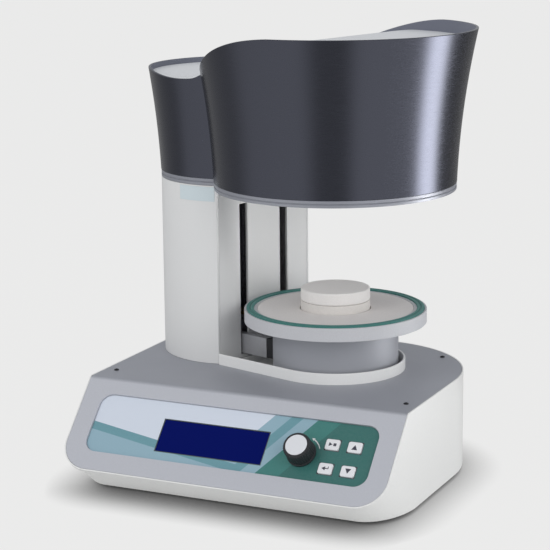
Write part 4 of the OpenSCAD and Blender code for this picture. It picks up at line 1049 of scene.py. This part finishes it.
@dataclass
class Panel:
    """The sloping control panel."""

    row: float = -62.7
    overlay_top: float = -2.45
    display_size: Point = (131.0, 39.5)
    display_x: float = -20.0
    knob_x: float = 90.5
    knob_radius: float = 16.8
    knob_height: float = 19.5
    knob_lift: float = 1.0
    flutes: int = 36
    flute_depth: float = 0.55
    cap_radius: float = 12.4
    cap_sink: float = 0.95
    cap_height: float = 1.6
    key_size: Point = (16.5, 13.0)
    key_pitch: Point = (26.5, 29.3)
    keys_x: float = 136.5
    key_proud: float = 1.8
    key_bottom: float = -6.8
    key_corner: float = 2.4
    key_flange: float = 3.0
    glass_bottom: float = -5.05
    glass_sink: float = 0.25
    print_height: float = 0.06
    mark_radius: float = 20.8
    mark_from: float = 24.0
    mark_to: float = 62.0

    def build(self) -> None:
        """Build the panel's pieces."""
        film = Bench.copied("panel_overlay", Place.PANEL, "overlay_film")
        settle(Bench.smooth(film), Place.PANEL, "base", "overlay_film", ["panel_overlay"])
        self.display()
        self.knob()
        for name, side, row in (("start", -1, 1), ("up", 1, 1), ("back", -1, -1), ("down", 1, -1)):
            self.key(name, side, row)
        self.turn_mark()

    def display(self) -> None:
        """Model the display window with a fine bevel."""
        width, height = self.display_size
        low = self.glass_bottom
        top = self.overlay_top - self.glass_sink
        middle = (self.display_x, self.row, (low + top) / 2)
        glass = Bench.block("display_window", (width, height, top - low), middle)
        Bench.soften(glass, 0.25, 2)
        settle(Bench.smooth(glass), Place.PANEL, "base", "display_blue", ["display_glass"])

    def knob(self) -> None:
        """Model the fluted knob and its cap."""
        base = self.overlay_top + self.knob_lift
        top = base + self.knob_height
        radius, seat = self.knob_radius, top - 1.0
        rim = self.cap_radius + 0.1
        outline = [(0, base), (radius, base), (radius, base + 2.2), (radius - 0.5, base + 2.8),
                   (radius - 0.9, top - 1.6), (radius - 2.0, top), (rim, top), (rim, seat), (0, seat)]
        knob = Bench.turned("knob_body", outline, self.flutes * 6)
        for vertex in knob.data.vertices:
            reach = math.hypot(vertex.co.x, vertex.co.y)
            if base + 2.5 < vertex.co.z < top - 0.4 and reach > self.cap_radius + 1:
                wave = math.cos(math.atan2(vertex.co.y, vertex.co.x) * self.flutes)
                depth = self.flute_depth * (0.5 - 0.5 * wave)
                vertex.co.x *= (reach - depth) / reach
                vertex.co.y *= (reach - depth) / reach
        knob.data.transform(Matrix.Translation((self.knob_x, self.row, 0)))
        settle(Bench.smooth(knob, 30), Place.PANEL, "knob_body", "black_plastic", ["knob"])
        low = top - self.cap_sink
        high = low + self.cap_height
        radius = self.cap_radius
        outline = [(0, low), (radius, low), (radius, low + 1.2), (radius - 0.5, high), (0, high)]
        cap = Bench.turned("knob_cap_disc", outline, 96)
        cap.data.transform(Matrix.Translation((self.knob_x, self.row, 0)))
        settle(Bench.smooth(cap), Place.PANEL, "knob_body", "aluminium", ["knob_cap"], "cap_white")

    def key(self, name: str, side: int, row: int) -> None:
        """Model one key with its printed sign."""
        across, up = self.key_pitch
        spot = Vector((self.keys_x + side * across / 2, self.row + row * up / 2, 0))
        top = self.overlay_top + self.key_proud
        width, height = self.key_size
        middle = (0, 0, (top + self.key_bottom) / 2)
        cap = Bench.block(f"key_{name}_cap", (width, height, top - self.key_bottom), middle)

        def upright(edge: bpy.types.MeshEdge) -> bool:
            """Say whether an edge runs from the key's bottom to its top."""
            first, second = (cap.data.vertices[index].co for index in edge.vertices)
            return abs(first.z - second.z) > 1

        Bench.pick(cap, "EDGE", upright)
        bpy.ops.mesh.bevel(offset=self.key_corner, segments=6, affect="EDGES")
        Bench.done(cap)
        Bench.pick(cap, "FACE", lambda polygon: polygon.normal.z < -0.5)
        bpy.ops.mesh.extrude_region_move(TRANSFORM_OT_translate={"value": (0, 0, 0)})
        flange = self.key_flange
        bpy.ops.transform.resize(value=((width + flange) / width, (height + flange) / height, 1))
        Bench.done(cap)
        Bench.soften(cap, 0.7, 3, 60)
        cap.data.transform(Matrix.Translation(spot))
        body = f"key_{name}_body"
        settle(Bench.smooth(cap, 50), Place.PANEL, body, "white_plastic", [f"key_{name}"])
        sign = self.sign(name, top)
        sign.data.transform(Matrix.Translation(spot))
        settle(sign, Place.PANEL, body, "black_plastic", (), "print_dark")

    def sign(self, name: str, top: float) -> Piece:
        """Model a key's flat sign: triangles and bars."""
        turn = {"up": 0.5, "down": -0.5, "start": 0.0, "back": 1.0}[name] * math.pi
        radius = 4.0 if name in ("up", "down") else 2.8
        shift = {"start": -2.6, "back": -1.6}.get(name, 0.0)
        high = self.print_height
        level = top + 0.02
        arrow = Bench.rod("sign", radius, high, (0, 0, 0), 3)
        arrow.data.transform(Matrix.Rotation(turn - math.pi / 2, 4, "Z"))
        arrow.data.transform(Matrix.Translation((shift, -0.3 * radius * math.sin(turn), level)))
        parts = [arrow]
        if name == "start":
            parts.append(Bench.block("sign", (3.4, 3.4, high), (3.0, 0, level)))
        if name == "back":
            parts.append(Bench.block("sign", (4.4, 0.9, high), (1.2, 0, level)))
            parts.append(Bench.block("sign", (0.9, 3.0, high), (3.4, 1.1, level)))
        return Bench.join(f"key_{name}_sign", parts)

    def turn_mark(self) -> None:
        """Model the curved arrow printed beside the knob."""
        middle = Vector((self.knob_x, self.row, self.overlay_top + 0.03))
        start, end = math.radians(self.mark_from), math.radians(self.mark_to)
        radius, half = self.mark_radius, 0.75

        def bend(share: float, out: float) -> Vector:
            """Point of the arrow's bow."""
            angle = start + (end - start) * share
            reach = radius + (out * 2 - 1) * half * (0.55 + 0.45 * share)
            return middle + Vector((reach * math.cos(angle), reach * math.sin(angle), 0))

        bow = Bench.sheet("mark", 12, 1, bend)
        Bench.thicken(bow, 0.05, 1.0)
        tip = Bench.rod("mark", 2.2, 0.05, (0, 0, 0), 3)
        tip.data.transform(Matrix.Rotation(end, 4, "Z"))
        ahead = end + 0.06
        tip_at = middle + Vector((radius * math.cos(ahead), radius * math.sin(ahead), 0.02))
        tip.data.transform(Matrix.Translation(tip_at))
        mark = Bench.join("turn_mark", [bow, tip])
        settle(mark, Place.PANEL, "base", "overlay_film", (), "print_white")


@dataclass(frozen=True)
class Lamp:
    """A soft area lamp: where it hangs and what it lights, in metres, and its power in watts."""

    name: str
    at: tuple[float, float, float]
    to: tuple[float, float, float]
    size: Point
    power: float

    def hang(self) -> None:
        """Hang the lamp; reflections don't show it."""
        data = bpy.data.lights.new(self.name, "AREA")
        data.shape = "RECTANGLE"
        data.size, data.size_y = self.size
        data.energy = self.power
        lamp = bpy.data.objects.new(self.name, data)
        bpy.context.scene.collection.objects.link(lamp)
        lamp.location = self.at
        lamp.visible_glossy = False
        lamp.rotation_euler = (Vector(self.to) - Vector(self.at)).to_track_quat("-Z", "Y").to_euler()


@dataclass
class Studio:
    """Floor, light and camera."""

    lens: float = 125.67
    yaw: float = 25.267
    pitch: float = 12.263
    roll: float = -0.573
    camera_at: tuple[float, float, float] = (925.3, -1874.3, 705.5)
    backdrop: Colour = (0.835, 0.835, 0.832)
    evenness: float = 0.97
    # Reach and depth of the floor's painted shadow.
    shadow_reach: float = 0.05
    shadow_depth: float = 0.95
    card_gain: float = 5.0
    card_stops: tuple[Point, ...] = (
        (-180, 0.07), (-98, 0.09), (-80, 0.18), (-29, 0.20), (-16, 0.08), (7, 0.08),
        (17, 0.22), (74, 0.22), (83, 2.0), (96, 2.0), (105, 0.04), (180, 0.07),
    )
    card_from: float = 0.45
    near_card: float = 0.7
    sky: Colour = (0.9, 0.92, 0.95)
    sky_strength: float = 0.56
    lamps: tuple[Lamp, ...] = (
        Lamp("key", (-1.2, -2.2, 1.6), (0, 0, 0.2), (1.6, 1.6), 25.0),
        Lamp("fill", (1.9, -1.2, 1.0), (0, 0, 0.25), (1.2, 1.6), 12.0),
        Lamp("strip", (2.0, 0.1, 0.5), (0.1, 0, 0.35), (0.3, 1.6), 9.0),
    )

    def build(self) -> None:
        """Build the floor, the lamps, the world and the camera."""
        self.floor()
        self.world()
        for lamp in self.lamps:
            lamp.hang()
        self.camera()
        bpy.context.scene.view_settings.view_transform = "Standard"

    def floor(self) -> None:
        """Lay a wide pale floor with a painted shadow round the object."""
        Bench.clear()
        bpy.ops.mesh.primitive_grid_add(x_subdivisions=8, y_subdivisions=8, size=60)
        floor = bpy.context.object
        floor.name = "floor"
        floor.data.materials.append(self.floor_finish())

    def floor_finish(self) -> bpy.types.Material:
        """Build the floor's material: an even pale tone with a painted shadow that darkens it softly close to
        the object.

        Returns:
            The material.
        """
        recipe = Recipe("pale floor")
        recipe.set(Base_Color=(*self.backdrop, 1), Roughness=0.9, Specular_IOR_Level=0.0)
        # Ambient occlusion dims the floor's glow near the object: a painted shadow, not a cast one.
        near = recipe.add("ShaderNodeAmbientOcclusion", samples=16)
        near.inputs["Distance"].default_value = self.shadow_reach
        painted_shadow_factor = recipe.sum("POWER", near.outputs["AO"], self.shadow_depth)
        glow = recipe.add("ShaderNodeEmission")
        glow.inputs["Color"].default_value = (*self.backdrop, 1)
        rays = recipe.add("ShaderNodeLightPath")
        glossy = rays.outputs["Is Glossy Ray"]
        plain = recipe.sum("SUBTRACT", 1.0, glossy)
        strength = recipe.sum("MULTIPLY", plain, painted_shadow_factor)
        strength = recipe.sum("MULTIPLY_ADD", glossy, self.cards(recipe), strength)
        recipe.wire(strength, glow.inputs["Strength"])
        seen = recipe.sum("MAXIMUM", rays.outputs["Is Camera Ray"], glossy)
        seen = recipe.sum("MAXIMUM", seen, rays.outputs["Is Transmission Ray"])
        mix = recipe.add("ShaderNodeMixShader")
        recipe.wire(recipe.sum("MULTIPLY", seen, self.evenness), mix.inputs[0])
        recipe.wire(recipe.shader.outputs[0], mix.inputs[1])
        recipe.wire(glow.outputs[0], mix.inputs[2])
        output = [n for n in recipe.tree.nodes if n.type == "OUTPUT_MATERIAL"][0]
        recipe.wire(mix.outputs[0], output.inputs[0])
        return recipe.material

    def cards(self, recipe: Recipe) -> Socket:
        """Give the brightness that reflections see, by the direction round the object.

        Args:
            recipe: The material being built.

        Returns:
            The brightness.
        """
        front = math.radians(self.yaw - 90)
        middle = tuple(Place.TOWER.matrix().translation)
        ahead = recipe.along((math.cos(front), math.sin(front), 0), middle)
        right = recipe.along((-math.sin(front), math.cos(front), 0), middle)
        turn = recipe.sum("ARCTAN2", right, ahead)
        share = recipe.sum("MULTIPLY_ADD", turn, 1 / math.tau, 0.5)
        squares = recipe.sum("MULTIPLY_ADD", ahead, ahead, recipe.sum("MULTIPLY", right, right))
        reach = recipe.sum("SQRT", squares)
        ramp = recipe.add("ShaderNodeValToRGB")
        recipe.wire(share, ramp.inputs[0])
        stops = ramp.color_ramp.elements
        for index, (degrees, value) in enumerate(self.card_stops):
            place = degrees / 360 + 0.5
            stop = stops[index] if index < 2 else stops.new(place)
            stop.position = place
            stop.color = (value, value, value, 1)
        far = recipe.sum("MULTIPLY", recipe.sum("GREATER_THAN", reach, self.card_from), self.card_gain)
        near = recipe.sum("MULTIPLY", recipe.sum("LESS_THAN", reach, self.card_from), self.near_card)
        return recipe.sum("MULTIPLY_ADD", ramp.outputs[0], far, near)

    def world(self) -> None:
        """Set an even pale surrounding light."""
        world = bpy.data.worlds.new("studio")
        bpy.context.scene.world = world
        world.use_nodes = True
        tree = world.node_tree
        background = tree.nodes["Background"]
        background.inputs["Color"].default_value = (*self.sky, 1)
        background.inputs["Strength"].default_value = self.sky_strength

    def camera(self) -> None:
        """Set the camera where the photograph was taken."""
        yaw, pitch, roll = (math.radians(a) for a in (self.yaw, self.pitch, self.roll))
        right = Vector((math.cos(yaw), math.sin(yaw), 0))
        level = math.cos(pitch)
        forward = Vector((-math.sin(yaw) * level, math.cos(yaw) * level, -math.sin(pitch)))
        up = right.cross(forward)
        turned_right = right * math.cos(roll) + up * math.sin(roll)
        turned_up = -right * math.sin(roll) + up * math.cos(roll)
        data = bpy.data.cameras.new("camera")
        data.sensor_width = 36.0
        data.lens = self.lens
        data.clip_start, data.clip_end = 0.05, 100.0
        camera = bpy.data.objects.new("camera", data)
        bpy.context.scene.collection.objects.link(camera)
        place = Matrix((turned_right, turned_up, -forward)).transposed().to_4x4()
        place.translation = base_place() @ Vector(self.camera_at)
        camera.matrix_world = place
        bpy.context.scene.camera = camera


def dress_solids() -> None:
    """Give every solid that still shows its slot's finish."""
    slots = {row["node"]: row["material_slot"] for row in frame["record"]["subparts"]}
    special = {"name_plate": "plate_blue"}
    for node, piece in frame["nodes"].items():
        piece.data.materials.clear()
        piece.data.materials.append(material(special.get(node, slots[node])))


def main() -> None:
    """Dress the frame and build each sub-assembly in order."""
    dress_solids()
    for part in (Studio(), Base(), Column(), Head(), Table(), Panel()):
        LOG.info("building %s", type(part).__name__)
        part.build()
    Bench.clear()


if __name__ == "__main__":
    main()
